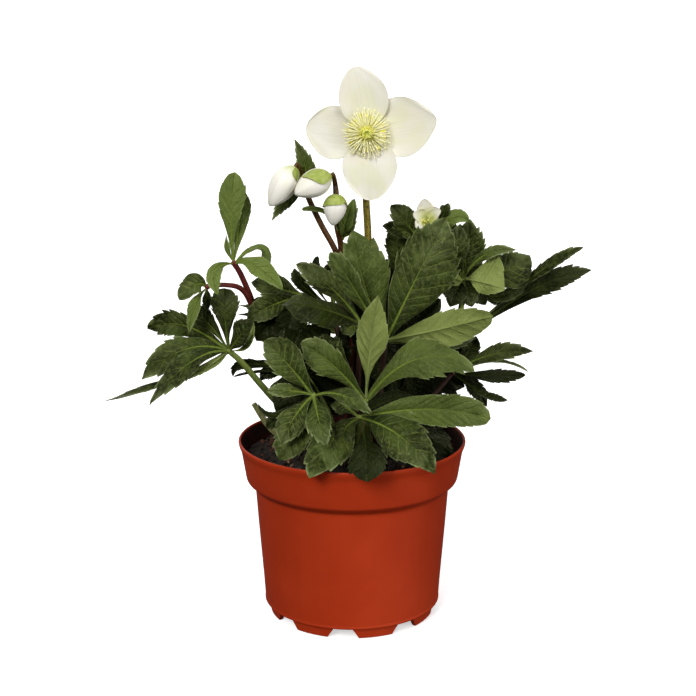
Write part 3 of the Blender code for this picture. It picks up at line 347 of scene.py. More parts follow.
            ((-15.9, 129.9, -5), (-9.1, 116.9, -4), 18, FRONT, "broad", -0.85),
            ((-20.4, 139.4, -4), (-12.5, 127.6, -4), 16, FRONT, "broad", -0.85),
        ],
    },
    "20": {
        "root": (14, 1), "stalk": [(20, 121, 8)], "hub": (30, 147, 9), "tone": -0.3,
        "leaflets": [
            ((23.1, 167.3, 8), (20.2, 189.2, 8), 20, FRONT, "broad", -0.55),
            ((37.2, 169.1, 8), (49.9, 184, 9), 18, FRONT, "broad", -0.45),
            ((49.8, 154.6, 7), (68.9, 161.5, 8), 16, FRONT, "broad", -0.35),
            ((44.9, 138.2, 4), (60.4, 128.8, 2), 12, FRONT_UP, "broad", -0.6),
            ((37, 131.1, -1), (38.3, 113.3, -5), 17, FRONT, "broad", -0.8),
            ((17, 146.4, 3), (2.3, 151.1, 1), 16, FRONT, "broad", -0.6),
            ((20.5, 134.7, 3), (8, 119.3, 1), 17, FRONT, "broad", -0.75),
            ((14.7, 154.6, 6), (0, 165, 5), 17, FRONT, "broad", -0.6),
            ((7.9, 153.4, 9), (-5.6, 168.5, 10), 22, FRONT, "broad", -0.8),
            ((10.1, 170.8, 8), (0, 189.2, 9), 17, FRONT, "broad", -0.75),
            ((12.5, 139.4, 7), (-4.5, 141.7, 8), 24, FRONT, "broad", -0.85),
            ((11.4, 133.5, 7), (-8, 124, 6), 22, FRONT, "broad", -0.85),
            ((44.3, 141.1, 12), (64.3, 132.9, 14), 20, FRONT, "broad", -0.8),
            ((22.8, 127.6, 6), (22.9, 108.6, 4), 22, FRONT, "broad", -0.85),
        ],
    },
}

# The flower stems: where each stands in the soil, the spots it passes, and the bud or the spot it ends at. A
# branch leaves its stem at its first spot.
STEMS = {
    "stem_bloom": {
        "root": (5, 4),
        "radius": 1.85,
        "taper": 0.0,
        "path": [(8, 150, 13), (9, 212, 15), (7.8, 240, 13), (7.4, 266, 12)],
        "head": (8, 275.5, 7.1),
    },
    "stem_left_bud": {
        "root": (-7, 3),
        "radius": 1.5,
        "taper": 1.2,
        "path": [(0, 150, 7), (-3, 193, 10), (-9, 211, 10), (-17, 226, 9), (-24, 241, 8), (-27, 252, 7)],
        "bud": "bud_left",
    },
    "stem_middle_buds": {
        "root": (-2, 11),
        "radius": 1.5,
        "taper": 1.2,
        "path": [(-5, 170, 18), (-6, 211, 15), (-8.4, 226, 11), (-9, 246, 5)],
        "bud": "bud_middle",
        "branch": [(-8.4, 232, 10), (-8.2, 242, 6), (-8.6, 247, 2)],
        "branch_bud": "bud_nodding",
    },
    "stem_half_open": {
        "root": (12, 8),
        "radius": 1.5,
        "taper": 1.2,
        "path": [(22, 150, 16), (34, 195, 26), (40, 214, 29), (41.5, 221, 27.5)],
        "head": (42, 225, 22.8),
    },
}


def spot(across, height, back):
    """The place in space of a spot, in metres."""
    on_plane = Vector((across, 0.0, height))
    reach = 1.0 - back / EYE.y
    return (EYE + (on_plane - EYE) * reach) * MM


class Nodes:
    """A material's node tree, written as calls that give output sockets."""

    def __init__(self, name, shader):
        self.material = bpy.data.materials.new(name)
        self.material.use_nodes = True
        self.tree = self.material.node_tree
        self.shader = self.tree.nodes["Principled BSDF"]
        for key, value in shader.items():
            self.join(self.shader.inputs[key], value)
        self.place = self.put("ShaderNodeTexCoord", {}).outputs["Object"]

    def join(self, socket, value):
        if isinstance(value, bpy.types.NodeSocket):
            self.tree.links.new(value, socket)
        else:
            socket.default_value = value

    def put(self, kind, inputs, **settings):
        made = self.tree.nodes.new(kind)
        for key, value in settings.items():
            setattr(made, key, value)
        for key, value in inputs.items():
            self.join(made.inputs[key], value)
        return made

    def value(self, name):
        """A value that the mesh keeps at its points."""
        return self.put("ShaderNodeAttribute", {}, attribute_name=name).outputs["Fac"]

    def maths(self, operation, a, b=0.0):
        made = self.put("ShaderNodeMath", {0: a}, operation=operation)
        self.join(made.inputs[1], b)
        return made.outputs[0]

    def times(self, a, b):
        return self.maths("MULTIPLY", a, b)

    def plus(self, a, b):
        return self.maths("ADD", a, b)

    def ease(self, value, low, high, at_low=0.0, at_high=1.0):
        """A smooth step from at_low to at_high as the value goes from low to high."""
        made = self.put("ShaderNodeMapRange", {"Value": value, "From Min": low, "From Max": high,
                                               "To Min": at_low, "To Max": at_high},
                        interpolation_type="SMOOTHSTEP")
        return made.outputs["Result"]

    def mix(self, share, a, b):
        """A colour between a and b."""
        made = self.put("ShaderNodeMix", {}, data_type="RGBA")
        self.join(made.inputs[0], share)
        for i, colour in ((6, a), (7, b)):
            self.join(made.inputs[i], colour if isinstance(colour, bpy.types.NodeSocket) else (*colour, 1.0))
        return made.outputs[2]

    def stretched(self, scale):
        """The place in the piece, stretched by a scale for each axis."""
        return self.put("ShaderNodeMapping", {"Vector": self.place, "Scale": scale}).outputs["Vector"]

    def point(self, x, y, z):
        return self.put("ShaderNodeCombineXYZ", {0: x, 1: y, 2: z}).outputs[0]

    def noise(self, scale, detail, vector=None):
        inputs = {"Vector": vector or self.place, "Scale": scale, "Detail": detail}
        return self.put("ShaderNodeTexNoise", inputs).outputs["Fac"]

    def cell_edge(self, scale, vector):
        """How far the nearest edge between cells is."""
        inputs = {"Vector": vector, "Scale": scale}
        return self.put("ShaderNodeTexVoronoi", inputs, feature="DISTANCE_TO_EDGE").outputs["Distance"]

    def bump(self, height, depth, normal=None):
        """Relief of a depth in millimetres."""
        made = self.put("ShaderNodeBump", {"Height": height, "Strength": 1.0, "Distance": depth * MM})
        if normal:
            self.join(made.inputs["Normal"], normal)
        return made.outputs["Normal"]

    def finish(self, colour, roughness, normal):
        self.join(self.shader.inputs["Base Color"], colour)
        self.join(self.shader.inputs["Roughness"], roughness)
        self.join(self.shader.inputs["Normal"], normal)
        return self.material


def leaf_finish():
    """Dark glossy green above with sunken veins, pale green below with raised ones; a thin pale margin.
    Painted shade darkens the upper side near the stalk and all of a blade whose tone is below 0, and a
    painted sheen lightens the outer half of the upper side in patches.
    """
    n = Nodes("leaf blade", {"Specular IOR Level": 0.13, "Specular Tint": (1.0, 1.0, 0.6, 1.0)})
    across, vein, pitch, along = n.value("across"), n.value("vein"), n.value("pitch"), n.value("along")
    rim, upper, tone, kind = n.value("rim"), n.value("upper"), n.value("tone"), n.value("kind")
    waver = n.times(n.maths("SUBTRACT", n.noise(240.0, 2.0), 0.5), 0.5)
    phase = n.maths("FRACT", n.plus(n.plus(vein, waver), 0.5))
    near = n.times(n.maths("ABSOLUTE", n.maths("SUBTRACT", phase, 0.5)), pitch)
    off_rib = n.maths("ABSOLUTE", across)
    lateral = n.times(n.ease(near, 0.08, 0.5, 1.0, 0.0), n.ease(rim, 0.4, 3.5))
    rib_width = n.ease(along, 0.0, 0.8, 0.85, 0.16)
    rib = n.ease(n.maths("DIVIDE", off_rib, rib_width), 0.5, 1.2, 1.0, 0.0)
    rib_light = n.times(rib, n.ease(along, 0.1, 0.95, 0.95, 0.3))
    lane = n.times(vein, pitch)
    net = n.ease(n.cell_edge(0.55, n.point(across, lane, n.times(kind, 9.0))), 0.02, 0.2, 1.0, 0.0)
    patches = n.noise(75.0, 4.0)
    mottle = n.noise(520.0, 3.0)
    margin = n.times(n.ease(rim, 0.1, 0.5, 1.0, 0.0), n.ease(patches, 0.35, 0.6, 0.06, 0.45))

    top = n.mix(n.ease(patches, 0.35, 0.7), (0.004, 0.009, 0.0005), (0.041, 0.062, 0.006))
    top = n.mix(n.ease(mottle, 0.46, 0.68, 0.0, 0.46), top, (0.112, 0.138, 0.036))
    # Painted sheen: the upper side is lightened to a grey green in patches over the outer half of each blade.
    painted_tip_sheen = n.times(n.ease(along, 0.4, 1.0), n.ease(patches, 0.42, 0.62))
    top = n.mix(n.times(painted_tip_sheen, 0.58), top, (0.135, 0.163, 0.066))
    # Painted shade: the upper side is darkened near the foot of each blade, next to the stalk.
    top = n.mix(n.ease(along, 0.1, 0.52, 0.8, 0.0), top, (0.006, 0.013, 0.0008))
    top = n.mix(n.ease(tone, 0.0, 0.95), top, (0.138, 0.19, 0.04))
    top = n.mix(n.times(net, 0.12), top, (0.12, 0.15, 0.045))
    top = n.mix(n.times(lateral, 0.45), top, (0.19, 0.235, 0.055))
    top = n.mix(rib_light, top, (0.17, 0.23, 0.035))
    below = n.mix(n.ease(patches, 0.3, 0.7), (0.165, 0.207, 0.05), (0.225, 0.266, 0.075))
    below = n.mix(n.times(net, 0.25), below, (0.14, 0.19, 0.05))
    below = n.mix(n.times(lateral, 0.16), below, (0.27, 0.33, 0.11))
    below = n.mix(n.times(rib, 0.8), below, (0.31, 0.38, 0.11))
    colour = n.mix(n.ease(upper, 0.45, 0.55), below, top)
    colour = n.mix(margin, colour, (0.34, 0.4, 0.18))
    # Painted shade: a blade whose tone is below 0 is darkened, to near black at -1.
    colour = n.mix(n.ease(tone, -1.0, 0.0, 0.98, 0.0), colour, (0.0035, 0.006, 0.0006))

    gloss = n.plus(n.times(patches, 0.5), n.times(mottle, 0.3))
    roughness = n.plus(n.ease(gloss, 0.3, 0.5, 0.42, 0.22), n.ease(upper, 0.45, 0.55, 0.22, 0.0))
    sunken = n.plus(n.times(lateral, 0.6), n.times(rib, 0.6))
    sunken = n.plus(sunken, n.times(net, 0.35))
    facing = n.ease(upper, 0.45, 0.55, 1.0, -1.0)
    grain = n.bump(n.noise(1500.0, 2.0), 0.06)
    mottled = n.bump(mottle, 0.42, grain)
    return n.finish(colour, roughness, n.bump(n.times(sunken, facing), 0.4, mottled))


def stalk_finish(name, low, high, speck, share, gloss):
    """A stalk that goes from one colour at its foot to another at its head, with streaks and specks."""
    n = Nodes(name, {"Specular IOR Level": 0.22})
    streak = n.noise(1.0, 3.0, n.stretched((900.0, 900.0, 90.0)))
    dots = n.noise(1.0, 2.0, n.stretched((1500.0, 1500.0, 600.0)))
    colour = n.mix(n.ease(n.value("along"), 0.05, 0.95), low, high)
    colour = n.mix(n.ease(streak, 0.4, 0.7, 0.0, 0.5), colour, speck)
    colour = n.mix(n.ease(dots, 0.55, 0.62, 0.0, share), colour, speck)
    return n.finish(colour, n.ease(streak, 0.3, 0.7, gloss, gloss + 0.18), n.bump(streak, 0.12))


def tepal_finish():
    """Cream white, greener towards the base, with a soft blush, faint veins and a thin darker margin."""
    n = Nodes("tepal skin", {"Specular IOR Level": 0.25, "Subsurface Weight": 0.12,
                             "Subsurface Radius": (0.004, 0.004, 0.002), "Subsurface Scale": 1.0})
    along, across, rim, kind = n.value("along"), n.value("across"), n.value("rim"), n.value("kind")
    lanes = n.point(n.times(across, 0.9), n.times(along, 1.4), kind)
    veins = n.noise(1.0, 4.0, lanes)
    patches = n.noise(45.0, 2.0)
    blush = n.noise(1.0, 1.0, n.point(n.times(across, 0.09), n.times(along, 2.2), kind))
    colour = n.mix(n.ease(patches, 0.35, 0.7), (0.9, 0.87, 0.75), (0.865, 0.825, 0.66))
    colour = n.mix(n.ease(blush, 0.45, 0.7, 0.0, 0.5), colour, (0.8, 0.8, 0.5))
    colour = n.mix(n.ease(veins, 0.45, 0.75, 0.0, 0.16), colour, (0.74, 0.7, 0.5))
    colour = n.mix(n.ease(along, 0.1, 0.36, 0.6, 0.0), colour, (0.66, 0.7, 0.3))
    glow = n.times(n.value("inner"), n.ease(along, 0.3, 0.85, 0.9, 0.0))
    colour = n.mix(glow, colour, (0.8, 0.84, 0.28))
    colour = n.mix(n.ease(rim, 0.1, 0.6, 0.4, 0.0), colour, (0.6, 0.55, 0.42))
    grain = n.bump(n.noise(900.0, 2.0), 0.02)
    return n.finish(colour, n.ease(patches, 0.3, 0.7, 0.5, 0.62), n.bump(veins, 0.14, grain))


def bud_finish():
    """The tepals of a closed bud: white, lime where the value cap is high."""
    n = Nodes("bud skin", {"Specular IOR Level": 0.3})
    along, cap, rim = n.value("along"), n.value("cap"), n.value("rim")
    patches = n.noise(140.0, 3.0)
    white = n.mix(n.ease(patches, 0.35, 0.7), (0.97, 0.94, 0.86), (0.94, 0.91, 0.78))
    white = n.mix(n.ease(along, 0.02, 0.3, 0.7, 0.0), white, (0.5, 0.58, 0.16))
    lime = n.mix(n.ease(n.noise(420.0, 3.0), 0.35, 0.65), (0.28, 0.36, 0.05), (0.4, 0.46, 0.12))
    colour = n.mix(cap, white, lime)
    edge = n.times(n.ease(rim, 0.05, 0.4, 1.0, 0.0), n.ease(cap, 0.0, 1.0, 0.2, 0.8))
    colour = n.mix(edge, colour, (0.3, 0.24, 0.07))
    return n.finish(colour, n.ease(patches, 0.3, 0.7, 0.42, 0.55), n.bump(n.noise(500.0, 3.0), 0.08))


def stamen_finish():
    """Cream filaments, yellower at their feet, and pale anthers, by the value head."""
    n = Nodes("stamens", {"Specular IOR Level": 0.3})
    tint = n.noise(400.0, 1.0)
    thread = n.mix(n.ease(n.value("along"), 0.0, 0.55), (0.86, 0.83, 0.14), (0.99, 0.96, 0.6))
    anther = n.mix(n.ease(tint, 0.4, 0.6), (0.97, 0.9, 0.4), (0.98, 0.95, 0.72))
    colour = n.mix(n.value("head"), thread, anther)
    return n.finish(colour, n.ease(tint, 0.3, 0.7, 0.5, 0.7), n.bump(n.noise(3000.0, 2.0), 0.05))


def lime_finish():
    """Yellow green, for nectaries and styles, mustard yellow towards their mouths."""
    n = Nodes("nectary skin", {"Specular IOR Level": 0.4})
    tint = n.noise(250.0, 2.0)
    colour = n.mix(n.ease(tint, 0.4, 0.6), (0.74, 0.76, 0.13), (0.84, 0.84, 0.3))
    colour = n.mix(n.ease(n.value("along"), 0.3, 0.9), colour, (0.8, 0.74, 0.05))
    return n.finish(colour, n.ease(tint, 0.3, 0.7, 0.4, 0.6), n.bump(n.noise(2500.0, 2.0), 0.05))


def pot_finish():
    """Brick red moulded plastic with a satin skin, faint flow marks and dust; painted shade darkens the
    inside, near black in blotches.
    """
    n = Nodes("moulded plastic", {"Specular IOR Level": 0.12})
    clouds = n.noise(28.0, 4.0)
    flow = n.noise(1.0, 3.0, n.stretched((160.0, 160.0, 12.0)))
    grain = n.noise(2600.0, 2.0)
    colour = n.mix(n.ease(clouds, 0.3, 0.75), (0.385, 0.031, 0.006), (0.44, 0.039, 0.008))
    colour = n.mix(n.ease(flow, 0.5, 0.8, 0.0, 0.25), colour, (0.33, 0.026, 0.005))
    # Painted shade: the inside wall is darkened to near black in blotches.
    inner_shade_share = n.times(n.value("stained"), n.ease(n.noise(240.0, 4.0), 0.2, 0.6, 0.86, 0.99))
    colour = n.mix(inner_shade_share, colour, (0.008, 0.004, 0.003))
    roughness = n.ease(n.plus(clouds, n.times(flow, 0.4)), 0.4, 0.95, 0.46, 0.6)
    return n.finish(colour, roughness, n.bump(flow, 0.05, n.bump(grain, 0.02)))


def soil_finish():
    """Dark crumbs with some reddish and pale ones, by the value bit."""
    n = Nodes("potting soil", {"Specular IOR Level": 0.25})
    bit = n.value("bit")
    fine = n.noise(900.0, 4.0)
    colour = n.mix(n.ease(fine, 0.35, 0.7), (0.007, 0.005, 0.004), (0.03, 0.018, 0.011))
    colour = n.mix(n.ease(bit, 0.76, 0.84, 0.0, 0.7), colour, (0.075, 0.026, 0.013))
    colour = n.mix(n.ease(bit, 0.93, 0.97, 0.0, 0.8), colour, (0.28, 0.17, 0.09))
    return n.finish(colour, n.ease(fine, 0.3, 0.7, 0.8, 1.0), n.bump(fine, 0.5))


class Shape:
    """The points, faces and values of one piece while it is put together."""

    def __init__(self):
        self.points = []
        self.faces = []
        self.values = {}

    def add(self, points, faces, **values):
        """Points in metres, faces as tuples of their numbers, and a number or a row of them a value."""
        first = len(self.points)
        self.points.extend(tuple(p) for p in points)
        self.faces.extend(tuple(first + i for i in face) for face in faces)
        for key in list(values) + [k for k in self.values if k not in values]:
            kept = self.values.setdefault(key, [])
            kept.extend([0.0] * (first - len(kept)))
            kept.extend(np.broadcast_to(np.asarray(values.get(key, 0.0), float), (len(points),)).tolist())

    def make(self, name, material, replaced, sharp=50.0):
        """The finished piece, on the plant's one body, in place of the CAD node that it stands for."""
        mesh = bpy.data.meshes.new(name)
        mesh.from_pydata(self.points, [], self.faces)
        for key, numbers in self.values.items():
            mesh.attributes.new(key, "FLOAT", "POINT").data.foreach_set("value", numbers)
        mesh.shade_smooth()
        mesh.set_sharp_from_angle(angle=math.radians(sharp))
        mesh.materials.append(material)
        piece = bpy.data.objects.new(name, mesh)
        bpy.context.scene.collection.objects.link(piece)
        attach(piece, "root")
        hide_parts(replaced)
        return piece


class Curve:
    """The curve of a blade's rib, which starts at start, passes middle half way and ends at end."""

    def __init__(self, start, middle, end, face, twist=0.0):
        self.start, self.end, self.face = np.array(start), np.array(end), np.array(face, float)
        self.twist = twist
        self.pull = np.array(middle) * 2.0 - (self.start + self.end) * 0.5
        self.length = ((middle - start).length + (end - middle).length) / MM

    def at(self, s):
        s = s[..., None]
        return self.start * (1.0 - s) ** 2 + self.pull * (2.0 * s * (1.0 - s)) + self.end * s**2

    def axes(self, s):
        """The direction there, the way to the side, and the way the upper side looks."""
        s = s[..., None]
        way = (self.pull - self.start) * (1.0 - s) + (self.end - self.pull) * s
        way = way / np.linalg.norm(way, axis=-1, keepdims=True)
        upward = self.face - way * (way * self.face).sum(-1, keepdims=True)
        upward = upward / np.linalg.norm(upward, axis=-1, keepdims=True)
        side = np.cross(way, upward)
        turn = self.twist * s
        return way, side * np.cos(turn) - upward * np.sin(turn), upward * np.cos(turn) + side * np.sin(turn)


def eased(table, s):
    """A smooth curve through the points of a table, read at s."""
    xs, ys = (np.array(column) for column in zip(*table))
    slopes = np.gradient(ys, xs)
    i = np.clip(np.searchsorted(xs, s, side="right") - 1, 0, len(xs) - 2)
    step = xs[i + 1] - xs[i]
    t = (s - xs[i]) / step
    return ((2 * t**3 - 3 * t**2 + 1) * ys[i] + (t**3 - 2 * t**2 + t) * step * slopes[i]
            + (3 * t**2 - 2 * t**3) * ys[i + 1] + (t**3 - t**2) * step * slopes[i + 1])


def sheet(shape, curve, s, sideways, top, bottom, forward, **values):
    """A closed thin blade from rows by columns of places on the curve: s along it, then across it, and the
    heights of its two sides, all three in millimetres. Its sides meet at the outer columns and at the tip."""
    rows, columns = s.shape
    way, side, upward = curve.axes(s)
    middle = curve.at(s) + (side * sideways[..., None] + way * forward[..., None]) * MM
    over = middle + upward * top[..., None] * MM
    under = middle + upward * bottom[..., None] * MM
    edge = (over + under) * 0.5
    over[:, 0], over[:, -1] = edge[:, 0], edge[:, -1]
    inner = columns - 2
    tip = curve.end + upward[-1, columns // 2] * 0.5 * (top[-1, columns // 2] + bottom[-1, columns // 2]) * MM
    points = np.concatenate([over.reshape(-1, 3), under[:, 1:-1].reshape(-1, 3), tip[None]])
    below = rows * columns
    last = below + rows * inner

    def a(i, j):
        return i * columns + j

    def b(i, j):
        return a(i, j) if j in (0, columns - 1) else below + i * inner + j - 1

    faces = []
    for i in range(rows - 1):
        for j in range(columns - 1):
            faces.append((a(i, j), a(i, j + 1), a(i + 1, j + 1), a(i + 1, j)))
            faces.append((b(i, j), b(i + 1, j), b(i + 1, j + 1), b(i, j + 1)))
    for j in range(columns - 1):
        faces.append((a(rows - 1, j), a(rows - 1, j + 1), last))
        faces.append((b(rows - 1, j + 1), b(rows - 1, j), last))
        if 0 < j < columns - 2:
            faces.append((a(0, j + 1), a(0, j), b(0, j), b(0, j + 1)))
    faces.append((a(0, 1), a(0, 0), b(0, 1)))
    faces.append((a(0, columns - 1), a(0, columns - 2), b(0, columns - 2)))
    upper = np.ones((rows, columns))
    upper[:, 0] = upper[:, -1] = 0.5
    upper = np.concatenate([upper.reshape(-1), np.zeros(rows * inner), [0.5]])
    spread = {"upper": upper}
    for key, value in values.items():
        full = np.broadcast_to(np.asarray(value, float), (rows, columns))
        spread[key] = np.concatenate([full.reshape(-1), full[:, 1:-1].reshape(-1), [full[-1, columns // 2]]])
    shape.add(points, faces, **spread)


# Outlines of leaflets: how far along, and the share of the full half width
OUTLINES = {
    "pointed": [(0.0, 0.1), (0.12, 0.22), (0.25, 0.46), (0.38, 0.77), (0.5, 0.96), (0.6, 1.0), (0.72, 0.9),
                (0.83, 0.66), (0.92, 0.36), (0.97, 0.16), (1.0, 0.0)],
    "broad": [(0.0, 0.12), (0.12, 0.26), (0.25, 0.54), (0.4, 0.86), (0.52, 0.99), (0.6, 1.0), (0.72, 0.91),
              (0.83, 0.68), (0.92, 0.38), (0.97, 0.17), (1.0, 0.0)],
    "ovate": [(0.0, 0.1), (0.1, 0.22), (0.2, 0.5), (0.32, 0.82), (0.45, 0.98), (0.54, 1.0), (0.67, 0.88),
              (0.79, 0.64), (0.89, 0.37), (0.96, 0.15), (1.0, 0.0)],
    "spoon": [(0.0, 0.12), (0.14, 0.16), (0.26, 0.28), (0.4, 0.54), (0.54, 0.8), (0.66, 0.96), (0.75, 1.0),
              (0.85, 0.9), (0.93, 0.64), (0.975, 0.38), (1.0, 0.0)],
    "blunt": [(0.0, 0.1), (0.1, 0.26), (0.2, 0.52), (0.32, 0.8), (0.46, 0.97), (0.6, 1.0), (0.74, 0.95),
              (0.86, 0.78), (0.94, 0.52), (0.98, 0.3), (1.0, 0.0)],
    "lance": [(0.0, 0.24), (0.12, 0.62), (0.26, 0.95), (0.36, 1.0), (0.52, 0.84), (0.7, 0.55), (0.85, 0.28),
              (0.95, 0.1), (1.0, 0.0)],
    "rhombic": [(0.0, 0.1), (0.2, 0.12), (0.28, 0.22), (0.4, 0.56), (0.52, 0.88), (0.62, 1.0), (0.72, 0.93),
                (0.83, 0.68), (0.92, 0.36), (1.0, 0.0)],
    "round": [(0.0, 0.1), (0.3, 0.14), (0.45, 0.4), (0.56, 0.76), (0.68, 0.98), (0.76, 1.0), (0.86, 0.88),
              (0.94, 0.6), (0.98, 0.36), (1.0, 0.0)],
    "late": [(0.0, 0.24), (0.2, 0.2), (0.35, 0.26), (0.48, 0.55), (0.6, 0.87), (0.7, 1.0), (0.8, 0.9),
             (0.9, 0.56), (0.96, 0.3), (1.0, 0.0)],
}
TEETH_FROM = 0.44
TEETH_TO = 0.965
# A tooth from its notch to its point: how far along, and the share of its height
TOOTH_ROWS = [(0.05, 0.0), (0.3, 0.4), (0.6, 0.66), (0.86, 0.85), (1.0, 1.0)]
# How tall a tooth is: a share of the pitch between two teeth, which counts for no more than this of the width
TOOTH_DEPTH = 0.36
TOOTH_SPAN = 0.3
# Above this tone a leaflet is young, and its teeth have only this share of their height
YOUNG_TONE = 0.4
YOUNG_TEETH = 0.45
WANDER = 0.09
SWEEP = 0.75
COLUMNS = [0.0, 0.12, 0.3, 0.48, 0.66, 0.84, 1.0]
# The pitch between side veins: a share of the rib's length, within these limits in millimetres
PITCH_SHARE = 0.1
LEAST_PITCH = 2.2
MOST_PITCH = 6.2
# How high the skin swells between two veins: a share of their pitch, in millimetres at most
SWELL_SHARE = 0.13
MOST_SWELL = 0.8
# How far a blade twists in radians either way, how steeply its halves fold up, and how much they wave
TWIST = 0.3
FOLD = (0.06, 0.44)
RUFFLE = 0.19
# How thick a blade is at its margin, and how much more it is at the foot of its rib
EDGE_THICKNESS = 0.42
RIB_THICKNESS = 0.35


def tooth_rows(teeth, plain, rng):
    """One margin's rows from base to tip: how far along each is, its vein, and its height there."""
    rows = [(TEETH_FROM * i / (3 * plain), i / 3 - plain, 0.0) for i in range(3 * plain)]
    cuts = [0.0] + [k + rng.uniform(-0.2, 0.2) for k in range(1, teeth)] + [float(teeth)]
    for k in range(teeth):
        height = rng.uniform(0.4, 1.3)
        for t, tall in TOOTH_ROWS:
            edge = (cuts[k] + (cuts[k + 1] - cuts[k]) * t) / teeth
            rows.append((TEETH_FROM + (TEETH_TO - TEETH_FROM) * edge, k + t, tall * height))
    return np.array(rows)


def drifting(edge_s, rng):
    """How a margin wanders off its outline."""
    return np.sin(rng.uniform(7.0, 11.0) * edge_s + rng.uniform(0.0, 6.28)) * rng.uniform(0.3, 1.0)


def leaflet(shape, start, middle, end, width, face, outline, tone, lean, rng):
    """One toothed blade: its side veins run out and forward from the rib to the teeth, its skin swells a
    little between them, and its two halves fold up and wave."""
    curve = Curve(start, middle, end, face, rng.uniform(-TWIST, TWIST))
    wide = 0.5 * width
    pitch = min(max(PITCH_SHARE * curve.length, LEAST_PITCH), MOST_PITCH)
    teeth = max(3, round((TEETH_TO - TEETH_FROM) * curve.length / pitch))
    plain = max(2, round(TEETH_FROM * curve.length / (1.1 * pitch)))
    left, right = tooth_rows(teeth, plain, rng), tooth_rows(teeth, plain, rng)
    c = np.array([-x for x in COLUMNS[:0:-1]] + COLUMNS)[None, :]
    c = np.sign(c) * np.where(np.abs(c) == COLUMNS[1], min(COLUMNS[1] * 2.0, 0.7 / wide), np.abs(c))
    far = np.abs(c)
    rib_column = far[0, len(COLUMNS)]
    edge_s, tall = (np.where(c < 0.0, left[:, i:i + 1], right[:, i:i + 1]) for i in (0, 2))
    vein = left[:, 1:2]
    mean = 0.5 * (left[:, 0:1] + right[:, 0:1])
    root = ((1.0 + SWEEP) - np.sqrt((1.0 + SWEEP) ** 2 - 4.0 * SWEEP * mean)) / (2.0 * SWEEP)
    s = root + (edge_s - root) * far
    envelope = np.maximum(eased(OUTLINES[outline], edge_s), 0.0)
    fade = np.clip((1.0 - edge_s) * 7.0, 0.0, 1.0) * np.clip(envelope * 2.0, 0.3, 1.0)
    tooth = TOOTH_DEPTH * (YOUNG_TEETH if tone > YOUNG_TONE else 1.0) * min(pitch, TOOTH_SPAN * width)
    depth = np.where(far > 0.99, tooth * tall * fade, 0.0)
    left_drift, right_drift = drifting(edge_s, rng), drifting(edge_s, rng)
    share = np.where(c < 0.0, 1.0 - lean + WANDER * left_drift, 1.0 + lean + WANDER * right_drift)
    half = wide * envelope * share
    across = c * half + np.sign(c) * depth
    forward = depth * tall * 0.7

    swell = np.interp(far, [0.0, rib_column, 0.3, 0.5, 0.84, 1.0], [0.0, 0.1, 0.8, 1.0, 0.7, 0.0])
    between_veins = 0.5 - 0.5 * np.cos(2.0 * np.pi * vein)
    quilt = between_veins * swell * min(SWELL_SHARE * pitch, MOST_SWELL) * np.clip(envelope, 0.0, 1.0)
    waves, shift = rng.uniform(1.0, 2.2), rng.uniform(0.0, 6.28)
    hands = np.where(c < 0.0, 0.0, rng.uniform(1.5, 4.5))
    wave = np.sin(2.0 * np.pi * waves * s + shift + hands)
    ruffle = far**2 * RUFFLE * wide * wave * np.clip(s * 3.0, 0, 1)
    folds = np.where(c < 0.0, rng.uniform(*FOLD), rng.uniform(*FOLD))
    lift = folds * np.abs(across) * (1.0 - 0.4 * far) + quilt + ruffle
    thick = EDGE_THICKNESS + RIB_THICKNESS * (1.0 - s) * (1.0 - far)
    ridge = np.interp(far, [0.0, rib_column, 0.3], [1.0, 0.25, 0.0]) * (1.15 - 0.85 * s)
    top = lift + 0.5 * thick - np.interp(far, [0.0, rib_column], [0.22, 0.0]) * (1.0 - 0.6 * s)
    bottom = lift - 0.5 * thick - ridge
    sheet(shape, curve, s, across, top, bottom, forward, across=across, vein=vein, pitch=pitch, along=s,
          rim=(1.0 - far) * half, tone=tone, kind=rng.uniform(0.0, 10.0))


def smooth_path(points, steps):
    """Points along a smooth curve through the given ones, with so many steps between each two."""
    path = []
    last = len(points) - 1
    for i in range(last):
        before, a, b, after = points[max(i - 1, 0)], points[i], points[i + 1], points[min(i + 2, last)]
        for k in range(steps):
            t = k / steps
            path.append(0.5 * (2.0 * a + (b - before) * t + (2.0 * before - 5.0 * a + 4.0 * b - after) * t**2
                               + (3.0 * a - before - 3.0 * b + after) * t**3))
    path.append(points[last])
    return path


def turns(count, start=0.0):
    """The angles of so many equal steps round a full turn."""
    return [2.0 * math.pi * (i + start) / count for i in range(count)]


def tube_faces(rings, sides):
    """The faces of a closed tube of so many rings, with a flat cap at each end."""
    faces = []
    for i in range(rings - 1):
        low, high = i * sides, (i + 1) * sides
        for k in range(sides):
            n = (k + 1) % sides
            faces.append((low + k, low + n, high + n, high + k))
    return faces + [tuple(reversed(range(sides))), tuple(range((rings - 1) * sides, rings * sides))]


def rod(shape, path, radii, sides, ribs=0.0, **values):
    """A round rod along a path, with a radius in millimetres at each point; ribs is how deep the furrows
    along it are, as a share of the radius."""
    last = len(path) - 1
    side = (path[1] - path[0]).orthogonal()
    points, along = [], []
    for i, (place, radius) in enumerate(zip(path, radii)):
        way = (path[min(i + 1, last)] - path[max(i - 1, 0)]).normalized()
        side = (side - way * side.dot(way)).normalized()
        other = way.cross(side)
        for turn in turns(sides):
            reach = radius * (1.0 + ribs * math.cos(5.0 * turn)) * MM
            points.append(place + (side * math.cos(turn) + other * math.sin(turn)) * reach)
            along.append(i / last)
    shape.add(points, tube_faces(last + 1, sides), **{"along": along, **values})


